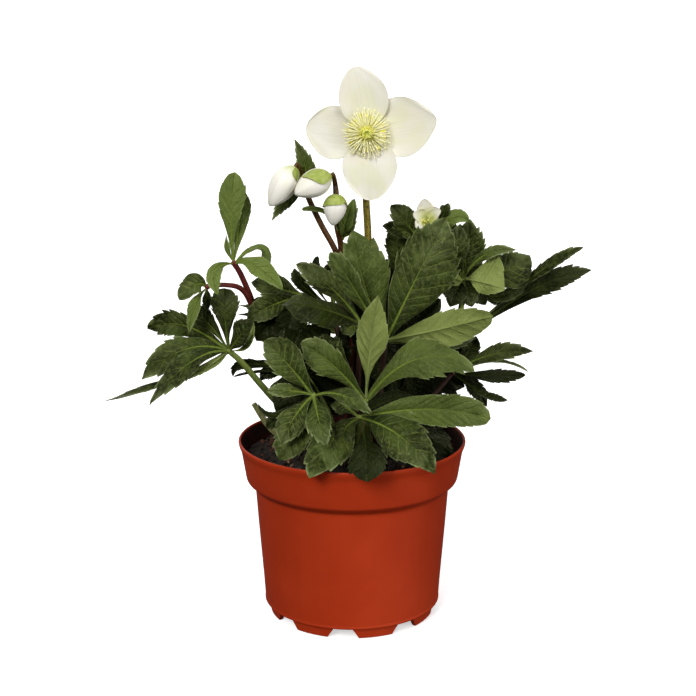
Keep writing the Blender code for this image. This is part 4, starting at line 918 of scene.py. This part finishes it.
def ball(shape, centre, radii, turn, sides, rings, **values):
    """A closed egg-shaped body of its own, turned by a matrix, with radii in millimetres."""
    points = [centre - turn @ Vector((0.0, 0.0, radii[2])) * MM]
    for i in range(1, rings):
        tilt = math.pi * i / rings
        for angle in turns(sides):
            local = Vector((radii[0] * math.sin(tilt) * math.cos(angle),
                            radii[1] * math.sin(tilt) * math.sin(angle), -radii[2] * math.cos(tilt)))
            points.append(centre + turn @ local * MM)
    points.append(centre + turn @ Vector((0.0, 0.0, radii[2])) * MM)
    last = len(points) - 1
    faces = []
    for k in range(sides):
        n = (k + 1) % sides
        faces.append((0, 1 + n, 1 + k))
        faces.append((last, last - sides + k, last - sides + n))
        for i in range(rings - 2):
            low = 1 + i * sides
            faces.append((low + k, low + n, low + sides + n, low + sides + k))
    shape.add(points, faces, **values)


def tapered(start, end, count):
    """So many radii that go evenly from one to the other."""
    return [start + (end - start) * i / (count - 1) for i in range(count)]


def facing_turn(way):
    """A matrix that turns +Z to a direction."""
    return Vector(way).to_track_quat("Z", "Y").to_matrix()


def rooted_path(root, passing, head, steps):
    """A path that stands upright in its hole in the soil, then passes the spots up to the head."""
    x, y = root
    foot = Vector((x, y, SOIL_TOP - HOLE_DEPTH + 1.0)) * MM
    neck = Vector((x, y, SOIL_TOP + 1.0)) * MM
    return [foot] + smooth_path([neck] + [spot(*p) for p in passing] + [head], steps)


# These leaves' stalks get the shaded stalk skin, darkened to near black as painted shade.
SHADED_STALKS = ("05", "06", "12", "13", "14", "20")


def make_leaves(finishes):
    """Each leaf's blades, and its stalk with the swelling at its head."""
    for key, own in LEAVES.items():
        plan = {**USUAL_LEAF, **own}
        rng = random.Random(int(key))
        hub = spot(*plan["hub"])
        blades = Shape()
        for middle, tip, width, face, *said in plan["leaflets"]:
            outline, tone, lean = *said, *USUAL_LEAFLET[len(said):]
            start = hub + (spot(*middle) - hub).normalized() * HUB_OFFSET * MM
            tone = min(max(plan["tone"] + tone + rng.uniform(-0.05, 0.08), -1.0), 1.0)
            leaflet(blades, start, spot(*middle), spot(*tip), width, face, outline, tone, lean, rng)
        blades.make("leaf_blades_" + key, finishes["leaf"], "leaf_" + key)
        stalk = Shape()
        path = rooted_path(plan["root"], plan["stalk"], hub, 6)
        radii = tapered(STALK_FOOT_RADIUS, plan["radius"], len(path))
        rod(stalk, path, radii, STALK_SIDES, STALK_FURROWS)
        ball(stalk, hub, HUB_RADII, facing_turn(path[-1] - path[-2]), STALK_SIDES, 8, along=1.0)
        skin = "shaded stalk" if key in SHADED_STALKS else plan["stalk_colour"]
        stalk.make("stalk_rod_" + key, finishes[skin], "stalk_" + key)


ROUND_TEPAL = [(0.0, 0.2), (0.1, 0.42), (0.2, 0.66), (0.35, 0.92), (0.5, 1.0), (0.62, 0.97), (0.76, 0.82),
               (0.87, 0.6), (0.95, 0.36), (0.985, 0.2), (1.0, 0.0)]
SHARP_TEPAL = [(0.0, 0.2), (0.12, 0.48), (0.24, 0.76), (0.38, 0.96), (0.5, 1.0), (0.63, 0.94), (0.76, 0.76),
               (0.87, 0.51), (0.94, 0.31), (0.98, 0.16), (1.0, 0.0)]
TEPAL_ROWS = 34
TEPAL_COLUMNS = 25


def tepal(shape, start, middle, end, width, face, cup, outline, lean, rng, inner=0.0):
    """One broad, shallow-cupped tepal, a little wavy towards its edge."""
    curve = Curve(start, middle, end, face)
    wide = 0.5 * width
    edge_s = (1.0 - np.cos(np.linspace(0.0, np.pi, TEPAL_ROWS + 1)))[:-1, None] * 0.5
    envelope = np.maximum(eased(outline, edge_s), 0.0)
    c = np.sin(np.linspace(-0.5, 0.5, TEPAL_COLUMNS) * np.pi)[None, :]
    far = np.abs(c)
    s = edge_s + 0.0 * c
    across = c * wide * envelope * (1.0 + lean * np.sign(c) * np.sin(np.pi * edge_s))
    waves = 0.5 * np.sin(9.0 * s + 3.0 * c + rng.uniform(0.0, 6.0))
    waves = waves + 0.3 * np.sin(16.0 * s * far + rng.uniform(0.0, 6.0))
    lift = cup * envelope * far**2 + waves * far**2 * 0.8 + 0.25 * np.cos(7.0 * c) * s * (1.0 - s)
    thick = 0.5 + 0.3 * (1.0 - s)
    rim = (1.0 - far) * wide * envelope
    sheet(shape, curve, s, across, lift + 0.5 * thick, lift - 0.5 * thick, 0.0 * s, along=s, across=across,
          rim=rim, kind=rng.uniform(0.0, 10.0), inner=inner)


# The open bloom: its middle, the way it faces, and its tepals (rib middle, tip, width, cup)
BLOOM = (8, 276, 3)
BLOOM_FACING = (0.0, -1.0, 0.1)
BLOOM_TEPALS = [
    ((-9, 277.5, 2), (-25.0, 280, -1), 29.2, 1.5, ROUND_TEPAL, -0.05),
    ((27, 280, 2), (46.2, 284.2, -2), 33, 1.5, SHARP_TEPAL, 0.0),
    ((5.4, 294, 1), (0.9, 312, 2), 27, 1.5, ROUND_TEPAL, 0.08),
    ((9.6, 259, -1), (10.4, 239.6, -2), 30, 1.5, ROUND_TEPAL, 0.0),
]
NECTARIES = 18
NECTARY_RADII = [0.6, 0.7, 0.8, 0.95, 1.1, 1.2, 1.3, 1.35, 1.3, 0.9]
# The rings of stamens: how many, the radius at their feet and at their heads, and how far forward these are
STAMENS = [(46, 3.4, 12.5, 5.0), (28, 3.0, 9.6, 8.2), (16, 2.4, 5.6, 10.6)]
THREAD_RADII = [0.3, 0.34, 0.36, 0.36, 0.34, 0.3, 0.25]
ANTHER = (0.46, 0.4, 0.72)
STYLES = 7
STYLE_RADII = [0.9, 0.86, 0.8, 0.74, 0.7, 0.66, 0.64, 0.66, 0.5]


def make_bloom(finishes):
    """The open flower: tepals, nectaries, stamens and styles."""
    rng = random.Random(7)
    centre = spot(*BLOOM)
    ahead = Vector(BLOOM_FACING).normalized()
    right = Vector((1.0, 0.0, 0.0))
    up = right.cross(ahead).normalized() * -1.0

    def at(radius, turn, forward):
        """The place at a radius and an angle round the bloom's axis, so far forward."""
        across, high = radius * math.cos(turn), radius * math.sin(turn)
        return centre + (right * across + up * high + ahead * forward) * MM

    tepals = Shape()
    rod(tepals, [at(0, 0, -2.8), at(0, 0, -1.6), at(0, 0, -0.4)], [2.2, 3.6, 4.6], 20, along=0.0, rim=9.0)
    for middle, tip, width, cup, outline, lean in BLOOM_TEPALS:
        tepal(tepals, at(0, 0, -1.2), spot(*middle), spot(*tip), width, BLOOM_FACING, cup, outline, lean, rng)
    tepals.make("bloom_petal_sheets", finishes["tepal"], "bloom_tepals")

    cups = Shape()
    rod(cups, [at(0, 0, 0.6), at(0, 0, 2.0), at(0, 0, 3.2)], [5.0, 5.4, 4.6], 20, along=0.2)
    for turn in turns(NECTARIES, 0.5):
        far = 10.6 + rng.uniform(-0.9, 0.6)
        path = [at(4.4, turn, 2.0), at(6.4, turn, 3.0), at(0.82 * far, turn, 3.4), at(far, turn, 3.3)]
        rod(cups, smooth_path(path, 3), NECTARY_RADII, 8)
    cups.make("bloom_nectary_cups", finishes["lime"], "bloom_nectaries")

    threads = Shape()
    rod(threads, [at(0, 0, 2.6), at(0, 0, 4.0), at(0, 0, 5.2)], [4.6, 4.2, 2.6], 20, along=0.0, head=0.0)
    for count, near, outer, front in STAMENS:
        for i in range(count):
            turn = 2.0 * math.pi * (i + rng.uniform(-0.3, 0.3)) / count
            far, reach = outer * rng.uniform(0.88, 1.08), front * rng.uniform(0.85, 1.1)
            bow = at(near + 0.5 * (far - near), turn, 0.55 * reach + 2.4)
            path = smooth_path([at(near, turn, 3.4), bow, at(far, turn, reach)], 3)
            rod(threads, path, THREAD_RADII, 5, head=0.0)
            way = (path[-1] - path[-2]).normalized()
            ball(threads, path[-1] + way * 0.4 * MM, ANTHER, facing_turn(way), 6, 5, along=1.0, head=1.0)
    threads.make("bloom_stamen_threads", finishes["stamen"], "bloom_stamens")

    spikes = Shape()
    ball(spikes, at(0, 0, 7.6), (2.5, 2.5, 3.0), facing_turn(ahead), 14, 8, along=0.0)
    for turn in turns(STYLES):
        path = [at(0.9, turn, 6.5), at(1.3, turn, 10.0), at(2.2, turn, 13.4)]
        rod(spikes, smooth_path(path, 4), STYLE_RADII, 7, along=0.1)
    spikes.make("bloom_style_spikes", finishes["lime"], "bloom_styles")


# The closed buds: base, tip, width, and how far their wrapping is turned
BUDS = {
    "bud_left": ((-31.2, 258.3, 1), (-45.6, 236.5, -5), 14.6, 2.3),
    "bud_middle": ((-11.8, 253.4, -3), (-31.4, 242.9, -12), 14, 0.9),
    "bud_nodding": ((-8.5, 243.2, -2), (-10.8, 225.6, -5), 11.8, 0.2),
}
# The patches over each bud: which way from the bud's axis one looks, half its width in degrees, its reach
# from the base as a share of the bud's length, how proud it is, and 1 where it is lime
CAPS = {
    "bud_left": [((0.95, -0.3, 0.45), 46.0, 0.27, 0.9, 1.0)],
    "bud_middle": [((-0.3, 0.9, 0.3), 70.0, 0.97, 1.0, 0.0), ((0.0, -0.05, 1.0), 90.0, 0.66, 1.3, 1.0)],
    "bud_nodding": [((-0.8, 0.6, 0.0), 180.0, 0.47, 1.3, 1.0)],
}
BUD_WRAPS = 3
WRAP_DEGREES = 82.0
BUD_ROWS = 20
BUD_COLUMNS = 25
# How thick a patch is, where it starts as a share of the bud's length, and how fast a short one narrows
PATCH_THICKNESS = 0.7
PATCH_START = 0.012
PATCH_TAPER = 3.4


def bud_radius(s, width):
    """The radius of a bud at a share of its length."""
    return max(0.5 * width * math.sin(math.pi * min(max(s, 0.0), 1.0) ** 0.8) ** 0.72, 0.0)


def bud_patch(shape, start, along, turn, width, middle, degrees, reach, proud, cap):
    """A tepal wrapped round a bud: from its base to a share of its length, and so far to each side."""
    rows, columns = BUD_ROWS, BUD_COLUMNS
    taper = PATCH_TAPER if reach < 0.9 else 0.0
    over, under, share, rim = [], [], [], []
    for i in range(rows):
        t = i / (rows - 1)
        s = PATCH_START + (reach - PATCH_START) * t
        spread = math.radians(degrees) * (1.0 - max(0.0, t - 0.45) ** 2.2 * taper)
        for k in range(columns):
            c = 2.0 * k / (columns - 1) - 1.0
            angle = middle + spread * c
            radius = bud_radius(s, width) + proud - 0.55 * (1.0 - abs(c)) * proud
            local = Vector((math.cos(angle), math.sin(angle), 0.0))
            over.append(start + along * s + turn @ local * radius * MM)
            under.append(start + along * s + turn @ local * max(radius - PATCH_THICKNESS, 0.0) * MM)
            share.append(s)
            rim.append((1.0 - abs(c)) * spread * radius if t < 0.98 else 0.0)
    count = rows * columns
    faces = []
    for i in range(rows - 1):
        for k in range(columns - 1):
            a = i * columns + k
            faces.append((a, a + 1, a + columns + 1, a + columns))
            faces.append((count + a, count + a + columns, count + a + columns + 1, count + a + 1))
    border = [*range(columns), *range(2 * columns - 1, count, columns)]
    border += [*range(count - 2, count - columns - 1, -1), *range(count - 2 * columns, 0, -columns)]
    for a, b in zip(border, border[1:] + border[:1]):
        faces.append((b, a, count + a, count + b))
    shape.add(over + under, faces, along=share * 2, rim=rim * 2, cap=cap)


def make_buds(finishes):
    """Closed buds of tepals wrapped over each other, each with a lime cap over its base."""
    for name, (base, tip, width, phase) in BUDS.items():
        start, end = spot(*base), spot(*tip)
        along = end - start
        turn = facing_turn(along)
        bud = Shape()
        ball(bud, start + along * 0.47, (0.42 * width, 0.42 * width, 0.46 * along.length / MM), turn, 20, 12,
             along=0.5, rim=9.0, cap=0.0)
        for middle in turns(BUD_WRAPS):
            bud_patch(bud, start, along, turn, width, middle + phase, WRAP_DEGREES, 1.0, 0.5, 0.0)
        for look, degrees, reach, proud, cap in CAPS[name]:
            local = turn.transposed() @ Vector(look)
            middle = math.atan2(local.y, local.x)
            bud_patch(bud, start, along, turn, width, middle, degrees, reach, proud, cap)
        bud.make("wrapped_" + name, finishes["bud"], name)


# The small leaves on the flower stems: where they start, then as a leaflet
BRACTS = {
    "bracts_left_bud": [
        ((-26.5, 249, 10.4), (-25.8, 259, 7), (-31.6, 273.5, 8), 12, FRONT, "lance", 0.1),
        ((-26.5, 249, 10.4), (-37, 239, 9), (-44.5, 228, 4), 8.5, FRONT, "lance", 0.2),
    ],
    "bracts_middle_buds": [
        ((-5.6, 218.6, 14.4), (-3.8, 226, 8), (0.8, 240.5, 3), 7, RIGHT_FRONT, "broad", 0.9),
        ((-5.6, 218.6, 14.4), (-1.6, 225, 11), (1.6, 241, 11), 6, RIGHT_FRONT, "broad", 0.3),
        ((-7.5, 222, 8.6), (-15, 233, 2), (-28, 234.5, 2), 4, FRONT_UP, "spoon", 0.5),
    ],
    "bracts_half_open": [
        ((40, 213.5, 25.2), (31.0, 225.9, 24), (21.5, 237.1, 23), 15, FRONT, "broad", -0.1),
        ((40, 213.5, 25.2), (33.2, 228.7, 29), (27.6, 236.5, 32), 5, FRONT, "pointed", -0.3),
        ((40, 213.5, 25.2), (54.3, 228.7, 18), (64.8, 228.1, 14), 10, FRONT_UP, "broad", 0.7),
        ((40, 213.5, 25.2), (50.4, 231.5, 20), (51.9, 237.6, 20), 6, FRONT, "pointed", -0.45),
        ((40, 213.5, 25.2), (27.7, 222.5, 22), (16.6, 225.3, 20), 8, FRONT, "pointed", -0.6),
    ],
}


def make_bracts(finishes):
    """The bracts, which grow together where they leave the stem."""
    for number, (name, blades) in enumerate(BRACTS.items()):
        rng = random.Random(50 + number)
        shape = Shape()
        for start, middle, tip, width, face, outline, tone in blades:
            first = spot(*start).lerp(spot(*middle), 0.05)
            leaflet(shape, first, spot(*middle), spot(*tip), width, face, outline, tone, 0.0, rng)
        ball(shape, spot(*blades[0][0]), (1.5, 1.5, 1.5), Matrix.Identity(3), 12, 8, tone=0.3, pitch=2.0,
             rim=9.0, upper=1.0)
        shape.make(name.replace("bracts", "bract_blades"), finishes["leaf"], name)


# The half-open flower among the leaves: its base, and its tepals
HALF_OPEN = (42, 226, 20)
HALF_OPEN_TEPALS = [
    ((40.9, 232.6, 14), (39.5, 240.4, 11), 11, 1.0, ROUND_TEPAL, 0.0),
    ((44.8, 231.5, 13), (49.2, 233.2, 9), 9, 1.0, ROUND_TEPAL, 0.0),
    ((38.2, 230.4, 13), (34.0, 230.9, 9), 9, 1.0, ROUND_TEPAL, 0.0),
    ((38.8, 227.0, 12), (36.0, 223.7, 8), 8, 1.0, ROUND_TEPAL, 0.0),
]
HALF_OPEN_THREADS = 16
HALF_OPEN_FACING = (-0.15, -1.0, 0.1)
GOLDEN_TURN = 2.39996


def make_half_open(finishes):
    """The half-open flower and its small middle."""
    rng = random.Random(21)
    base = spot(*HALF_OPEN)
    shape = Shape()
    ball(shape, base, (2.6, 2.6, 2.2), Matrix.Identity(3), 16, 10, along=0.0, rim=9.0)
    for middle, tip, width, cup, outline, lean in HALF_OPEN_TEPALS:
        tepal(shape, base, spot(*middle), spot(*tip), width, FRONT, cup, outline, lean, rng, 1.0)
    shape.make("half_open_petal_sheets", finishes["tepal"], "half_open_tepals")
    ahead = Vector(HALF_OPEN_FACING).normalized()
    foot = base + ahead * 2.2 * MM
    centre = Shape()
    rod(centre, [foot, foot + ahead * MM, foot + ahead * 2.2 * MM], [1.3, 2.0, 1.7], 14)
    for i in range(HALF_OPEN_THREADS):
        turn = GOLDEN_TURN * i
        spread = math.sqrt((i + 0.5) / HALF_OPEN_THREADS)
        out = Vector((math.cos(turn), 0.0, math.sin(turn))) * spread
        path = [foot + (ahead + out * 1.2) * MM, foot + (ahead * 4.4 + out * 2.4) * MM,
                foot + (ahead * (8.2 - spread) + out * 4.2) * MM]
        rod(centre, smooth_path(path, 2), [0.38, 0.4, 0.45, 0.6, 0.4], 6, along=0.2)
    centre.make("half_open_middle", finishes["lime"], "half_open_centre")


def bud_neck(name):
    """Two points of the stem that carries a bud: a little before the bud's foot, and just inside it."""
    base, tip = BUDS[name][:2]
    foot = spot(*base)
    away = (foot - spot(*tip)).normalized()
    return [foot + away * 1.8 * MM, foot - away * 0.4 * MM]


def make_stems(finishes):
    """The flower stems, one of them with a branch."""
    for name, plan in STEMS.items():
        shape = Shape()
        neck = bud_neck(plan["bud"]) if "bud" in plan else [spot(*plan["head"])]
        path = rooted_path(plan["root"], plan["path"], neck[0], 7) + neck[1:]
        last = len(path) - 1
        radii = [plan["radius"] * (1.2 - 0.2 * i / last - max(0.0, i / last - 0.75) * plan["taper"])
                 for i in range(last + 1)]
        rod(shape, path, radii, STEM_SIDES, STEM_FURROWS)
        if "branch" in plan:
            neck = bud_neck(plan["branch_bud"])
            path = smooth_path([spot(*p) for p in plan["branch"]] + neck[:1], 6) + neck[1:]
            last = len(path) - 1
            radii = [plan["radius"] * (0.8 - 0.15 * i / last) for i in range(last + 1)]
            rod(shape, path, radii, STEM_SIDES, STEM_FURROWS)
        colour = "olive stem" if name in ("stem_bloom", "stem_half_open") else "brown stem"
        shape.make("rod_" + name, finishes[colour], name)


CUT_STALK_ROOT = (-29, 8)
CUT_STALK = [(-46, 108, 10), (-56, 123, 8)]


def make_cut_stalk(finishes):
    """The dry stub that leans out of the soil."""
    shape = Shape()
    path = rooted_path(CUT_STALK_ROOT, CUT_STALK[:-1], spot(*CUT_STALK[-1]), 8)
    rod(shape, path, tapered(STALK_FOOT_RADIUS, STALK_RADIUS, len(path)), 12, 0.1)
    shape.make("dry_stub", finishes["dry stalk"], "cut_stalk")


# The pot's section, from the middle of its floor up the inside, over the lip and down the outside
POT_PROFILE = [
    (0.0, 8.2), (46.6, 8.2), (48.2, 8.9), (48.9, 10.4), (53.7, 73.4), (54.3, 75.3), (57.6, 80.6),
    (58.5, 82.2), (61.4, 96.5), (63.3, 101.9), (63.6, 102.7), (64.1, 103.0), (64.6, 102.95),
    (64.95, 102.5), (65.0, 101.9), (64.75, 100.6), (64.35, 99.6), (63.8, 98.3), (63.35, 96.8),
    (63.05, 95.0), (61.85, 87.7), (60.85, 81.6), (60.65, 80.9), (60.3, 80.3), (59.7, 79.65),
    (59.0, 79.0), (58.3, 78.4), (57.7, 77.9), (57.1, 77.4), (56.6, 76.95), (56.2, 76.5), (55.9, 76.0),
    (55.7, 75.3), (55.6, 74.3), (55.45, 72.9), (54.05, 53.0), (52.65, 35.4), (51.5, 21.0), (50.7, 8.9),
    (50.65, 8.2), (50.85, 7.7), (50.85, 7.1), (50.55, 6.7), (49.9, 6.5), (46.0, 6.4), (0.0, 6.4),
]
# How many points of the inside, from the floor up to just under the lip, are darkened by painted shade
INNER_SHADE_POINTS = 9
FOOT_PROFILE = [
    (45.0, 0.5), (45.5, 0.0), (47.1, 0.0), (47.6, 0.4), (48.1, 4.4), (48.5, 6.3), (48.3, 7.2), (45.0, 7.2),
]
FOOT_STEPS = 16


def round_point(radius, turn, height):
    """The place in metres at a radius, an angle and a height."""
    return (radius * math.cos(turn) * MM, radius * math.sin(turn) * MM, height * MM)


def spun(shape, profile, sides, **values):
    """A solid of revolution from (radius, height) points that start and end on the axis."""
    inner = profile[1:-1]
    points = [(0.0, 0.0, profile[0][1] * MM)]
    for turn in turns(sides):
        points += [round_point(radius, turn, height) for radius, height in inner]
    points.append((0.0, 0.0, profile[-1][1] * MM))
    count, last = len(inner), len(points) - 1
    faces = []
    for k in range(sides):
        a, b = 1 + k * count, 1 + (k + 1) % sides * count
        faces.append((0, a, b))
        faces.append((last, b + count - 1, a + count - 1))
        faces.extend((a + i, a + i + 1, b + i + 1, b + i) for i in range(count - 1))
    shape.add(points, faces, **values)


def foot_block(shape, start, end):
    """One foot of the pot between two notches, given by its angles; the notches widen towards the floor."""
    points = []
    lean = math.radians((NOTCH_FOOT_DEGREES - NOTCH_TOP_DEGREES) / 2.0)
    top = math.radians(NOTCH_TOP_DEGREES / 2.0)
    for k in range(FOOT_STEPS + 1):
        for radius, height in FOOT_PROFILE:
            edge = top + lean * (1.0 - min(height / FOOT_HEIGHT, 1.0))
            turn = start + edge + (end - start - 2.0 * edge) * k / FOOT_STEPS
            points.append((radius * math.sin(turn) * MM, -radius * math.cos(turn) * MM, height * MM))
    shape.add(points, tube_faces(FOOT_STEPS + 1, len(FOOT_PROFILE)))


def drill_floor(pot, holes):
    """Round drain holes through the pot's floor."""
    drills = Shape()
    for x, y in holes:
        rod(drills, [Vector((x, y, z)) * MM for z in (4.0, 7.0, 11.0)], [DRAIN_RADIUS] * 3, 24)
    mesh = bpy.data.meshes.new("drills")
    mesh.from_pydata(drills.points, [], drills.faces)
    tool = bpy.data.objects.new("drills", mesh)
    bpy.context.scene.collection.objects.link(tool)
    cut = pot.modifiers.new("drains", "BOOLEAN")
    cut.operation = "DIFFERENCE"
    cut.solver = "EXACT"
    cut.object = tool
    graph = bpy.context.evaluated_depsgraph_get()
    drilled = bpy.data.meshes.new_from_object(pot.evaluated_get(graph))
    pot.modifiers.clear()
    pot.data = drilled
    bpy.data.objects.remove(tool)
    bpy.data.meshes.remove(mesh)


def make_pot(finishes):
    """The nursery pot with its lip, collar, feet and drain holes."""
    shape = Shape()
    # The inside of the pot, up to just under the lip, gets painted shade.
    stained = [1.0] * INNER_SHADE_POINTS + [0.5, 0.0]
    stained += [0.0] * (len(POT_PROFILE) - 2 - len(stained))
    spun(shape, POT_PROFILE, POT_SIDES, stained=[1.0] + stained * POT_SIDES + [0.0])
    holes = []
    for i in range(FEET):
        angle = math.radians(NOTCH_MIDDLE_DEGREES + 360.0 / FEET * i)
        foot_block(shape, angle, angle + 2.0 * math.pi / FEET)
        holes.append((DRAIN_CIRCLE * math.sin(angle), -DRAIN_CIRCLE * math.cos(angle)))
    drill_floor(shape.make("nursery_pot", finishes["pot"], "pot", sharp=40.0), holes)


def make_soil(finishes):
    """Crumbly potting soil: an uneven top, and loose crumbs and slivers of bark that lie on it."""
    rng = random.Random(3)
    shape = Shape()
    rings, sides = SOIL_RINGS, SOIL_SIDES
    points = [(0.0, 0.0, SOIL_TOP * MM)]
    for i in range(1, rings + 1):
        radius = SOIL_RADIUS * i / rings
        for turn in turns(sides):
            x, y = radius * math.cos(turn), radius * math.sin(turn)
            rough = noise.fractal(Vector((x, y, 0.0)) * SOIL_BUMPS, 1.0, 2.0, 4) * SOIL_ROUGHNESS
            points.append((x * MM, y * MM, (SOIL_TOP + min(rough, SOIL_PEAK)) * MM))
    for radius, height in SOIL_SIDE:
        points += [round_point(radius, turn, height) for turn in turns(sides)]
    faces = []
    for k in range(sides):
        n = (k + 1) % sides
        faces.append((0, 1 + k, 1 + n))
        for i in range(rings + len(SOIL_SIDE) - 1):
            a, b = 1 + i * sides, 1 + (i + 1) * sides
            faces.append((a + k, b + k, b + n, a + n))
    faces.append(tuple(reversed(range(len(points) - sides, len(points)))))
    shape.add(points, faces, bit=0.2)
    for _ in range(CRUMBS):
        radius = SOIL_RADIUS * 0.97 * math.sqrt(rng.random())
        turn = rng.uniform(0.0, 2.0 * math.pi)
        size = rng.uniform(*CRUMB_SIZE)
        place = Vector(round_point(radius, turn, SOIL_TOP + rng.uniform(0.0, 1.4)))
        roll = Vector((rng.uniform(-1, 1), rng.uniform(-1, 1), rng.uniform(-1, 1))).normalized()
        radii = (size, size * rng.uniform(0.5, 0.9), size * rng.uniform(0.4, 1.5))
        ball(shape, place, radii, facing_turn(roll), 6, 4, bit=rng.random())
    for _ in range(SLIVERS):
        radius = SOIL_RADIUS * 0.93 * math.sqrt(rng.random())
        turn = rng.uniform(0.0, 2.0 * math.pi)
        place = Vector(round_point(radius, turn, SOIL_TOP + rng.uniform(1.0, 2.4)))
        way = Vector((rng.uniform(-1, 1), rng.uniform(-1, 1), rng.uniform(-0.25, 0.4))).normalized()
        span = rng.uniform(*SLIVER_LENGTH) * MM
        path = [place - way * span * 0.5, place, place + way * span * 0.5]
        rod(shape, path, SLIVER_RADII, 5, 0.2, bit=rng.uniform(0.6, 1.0))
    shape.make("crumbly_soil", finishes["soil"], "soil", sharp=30.0)


# The skins of stalks and stems: the colour at the foot, the one at the head, the colour of the specks, how
# many specks there are, and how rough the skin is
STALK_SKINS = {
    "green stalk": ((0.07, 0.1, 0.02), (0.19, 0.25, 0.045), (0.07, 0.07, 0.02), 0.3, 0.45),
    "red stalk": ((0.09, 0.012, 0.01), (0.17, 0.026, 0.02), (0.035, 0.007, 0.006), 0.5, 0.35),
    # shaded stalk: painted shade, a red stalk darkened to near black where it stands deep among the leaves
    "shaded stalk": ((0.012, 0.006, 0.003), (0.04, 0.014, 0.007), (0.012, 0.005, 0.003), 0.5, 0.45),
    "olive stem": ((0.19, 0.13, 0.015), (0.29, 0.26, 0.03), (0.05, 0.022, 0.006), 0.85, 0.45),
    "brown stem": ((0.08, 0.014, 0.004), (0.12, 0.062, 0.012), (0.02, 0.007, 0.003), 0.85, 0.45),
    "dry stalk": ((0.16, 0.16, 0.06), (0.24, 0.25, 0.09), (0.08, 0.07, 0.03), 0.6, 0.75),
}


def make_finishes():
    """Every material of the plant."""
    return {
        "leaf": leaf_finish(),
        **{name: stalk_finish(name + " skin", *skin) for name, skin in STALK_SKINS.items()},
        "tepal": tepal_finish(),
        "bud": bud_finish(),
        "stamen": stamen_finish(),
        "lime": lime_finish(),
        "pot": pot_finish(),
        "soil": soil_finish(),
    }


# Half the floor's width in metres, and how bright the surrounding is, above and below
FLOOR_REACH = 60.0
SKY_LIGHT = 0.18
LOW_LIGHT = 0.06


def make_stage():
    """A plain pale floor that reaches past the picture, and a white surrounding."""
    mesh = bpy.data.meshes.new("floor")
    corners = [(-1.0, -1.0), (1.0, -1.0), (1.0, 1.0), (-1.0, 1.0)]
    mesh.from_pydata([(x * FLOOR_REACH, y * FLOOR_REACH, 0.0) for x, y in corners], [], [(0, 1, 2, 3)])
    floor = bpy.data.objects.new("floor", mesh)
    bpy.context.scene.collection.objects.link(floor)
    n = Nodes("pale floor", {"Base Color": (0.95, 0.95, 0.945, 1.0), "Roughness": 0.9,
                             "Specular IOR Level": 0.0, "Emission Color": (1.0, 1.0, 1.0, 1.0),
                             "Emission Strength": 0.55})
    mesh.materials.append(n.material)
    floor.visible_diffuse = False
    floor.visible_glossy = False
    make_world()


def make_world():
    """A white surrounding, whose light comes more from above than from below."""
    world = bpy.data.worlds.new("studio")
    bpy.context.scene.world = world
    world.use_nodes = True
    tree = world.node_tree
    background = tree.nodes["Background"]
    background.inputs["Color"].default_value = (1.0, 1.0, 1.0, 1.0)
    height = tree.nodes.new("ShaderNodeSeparateXYZ")
    tree.links.new(tree.nodes.new("ShaderNodeTexCoord").outputs["Generated"], height.inputs[0])
    light = tree.nodes.new("ShaderNodeMapRange")
    light.interpolation_type = "SMOOTHSTEP"
    for key, value in (("From Min", -0.5), ("From Max", 0.6), ("To Min", LOW_LIGHT), ("To Max", SKY_LIGHT)):
        light.inputs[key].default_value = value
    tree.links.new(height.outputs["Z"], light.inputs["Value"])
    seen = tree.nodes.new("ShaderNodeLightPath")
    strength = tree.nodes.new("ShaderNodeMix")
    tree.links.new(seen.outputs["Is Camera Ray"], strength.inputs[0])
    tree.links.new(light.outputs["Result"], strength.inputs[2])
    strength.inputs[3].default_value = 1.0
    tree.links.new(strength.outputs[0], background.inputs["Strength"])


# The studio's lamps: where each shines from, its strength and how wide it looks in degrees
LAMPS = [
    ("key", (-0.47, -1.0, 0.7), 2.25, 26.0),
    ("front", (1.6, -1.0, 0.1), 2.2, 50.0),
    ("top", (0.1, 0.05, 1.0), 0.9, 50.0),
    ("back", (-0.5, 1.0, 0.4), 1.05, 60.0),
]


def make_lights():
    """Broad, soft lamps far away."""
    for name, way, strength, degrees in LAMPS:
        lamp = bpy.data.lights.new(name, "SUN")
        lamp.energy = strength
        lamp.angle = math.radians(degrees)
        obj = bpy.data.objects.new(name, lamp)
        obj.rotation_euler = Vector(way).to_track_quat("Z", "Y").to_euler()
        bpy.context.scene.collection.objects.link(obj)


def make_camera():
    """The photograph's view: level with the leaves' tops, looking a little down."""
    camera = bpy.data.cameras.new("camera")
    camera.sensor_width = SENSOR_WIDTH
    camera.lens = LENS
    camera.shift_x = SHIFT
    camera.clip_end = 500.0
    obj = bpy.data.objects.new("camera", camera)
    obj.location = EYE * MM
    obj.rotation_euler = (math.pi / 2.0 - LOOK_DOWN, 0.0, 0.0)
    bpy.context.scene.collection.objects.link(obj)
    bpy.context.scene.camera = obj


def main():
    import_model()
    bpy.context.scene.view_settings.view_transform = "Standard"
    finishes = make_finishes()
    make_camera()
    make_lights()
    make_stage()
    make_pot(finishes)
    make_soil(finishes)
    make_leaves(finishes)
    make_stems(finishes)
    make_bracts(finishes)
    make_bloom(finishes)
    make_buds(finishes)
    make_half_open(finishes)
    make_cut_stalk(finishes)


main()
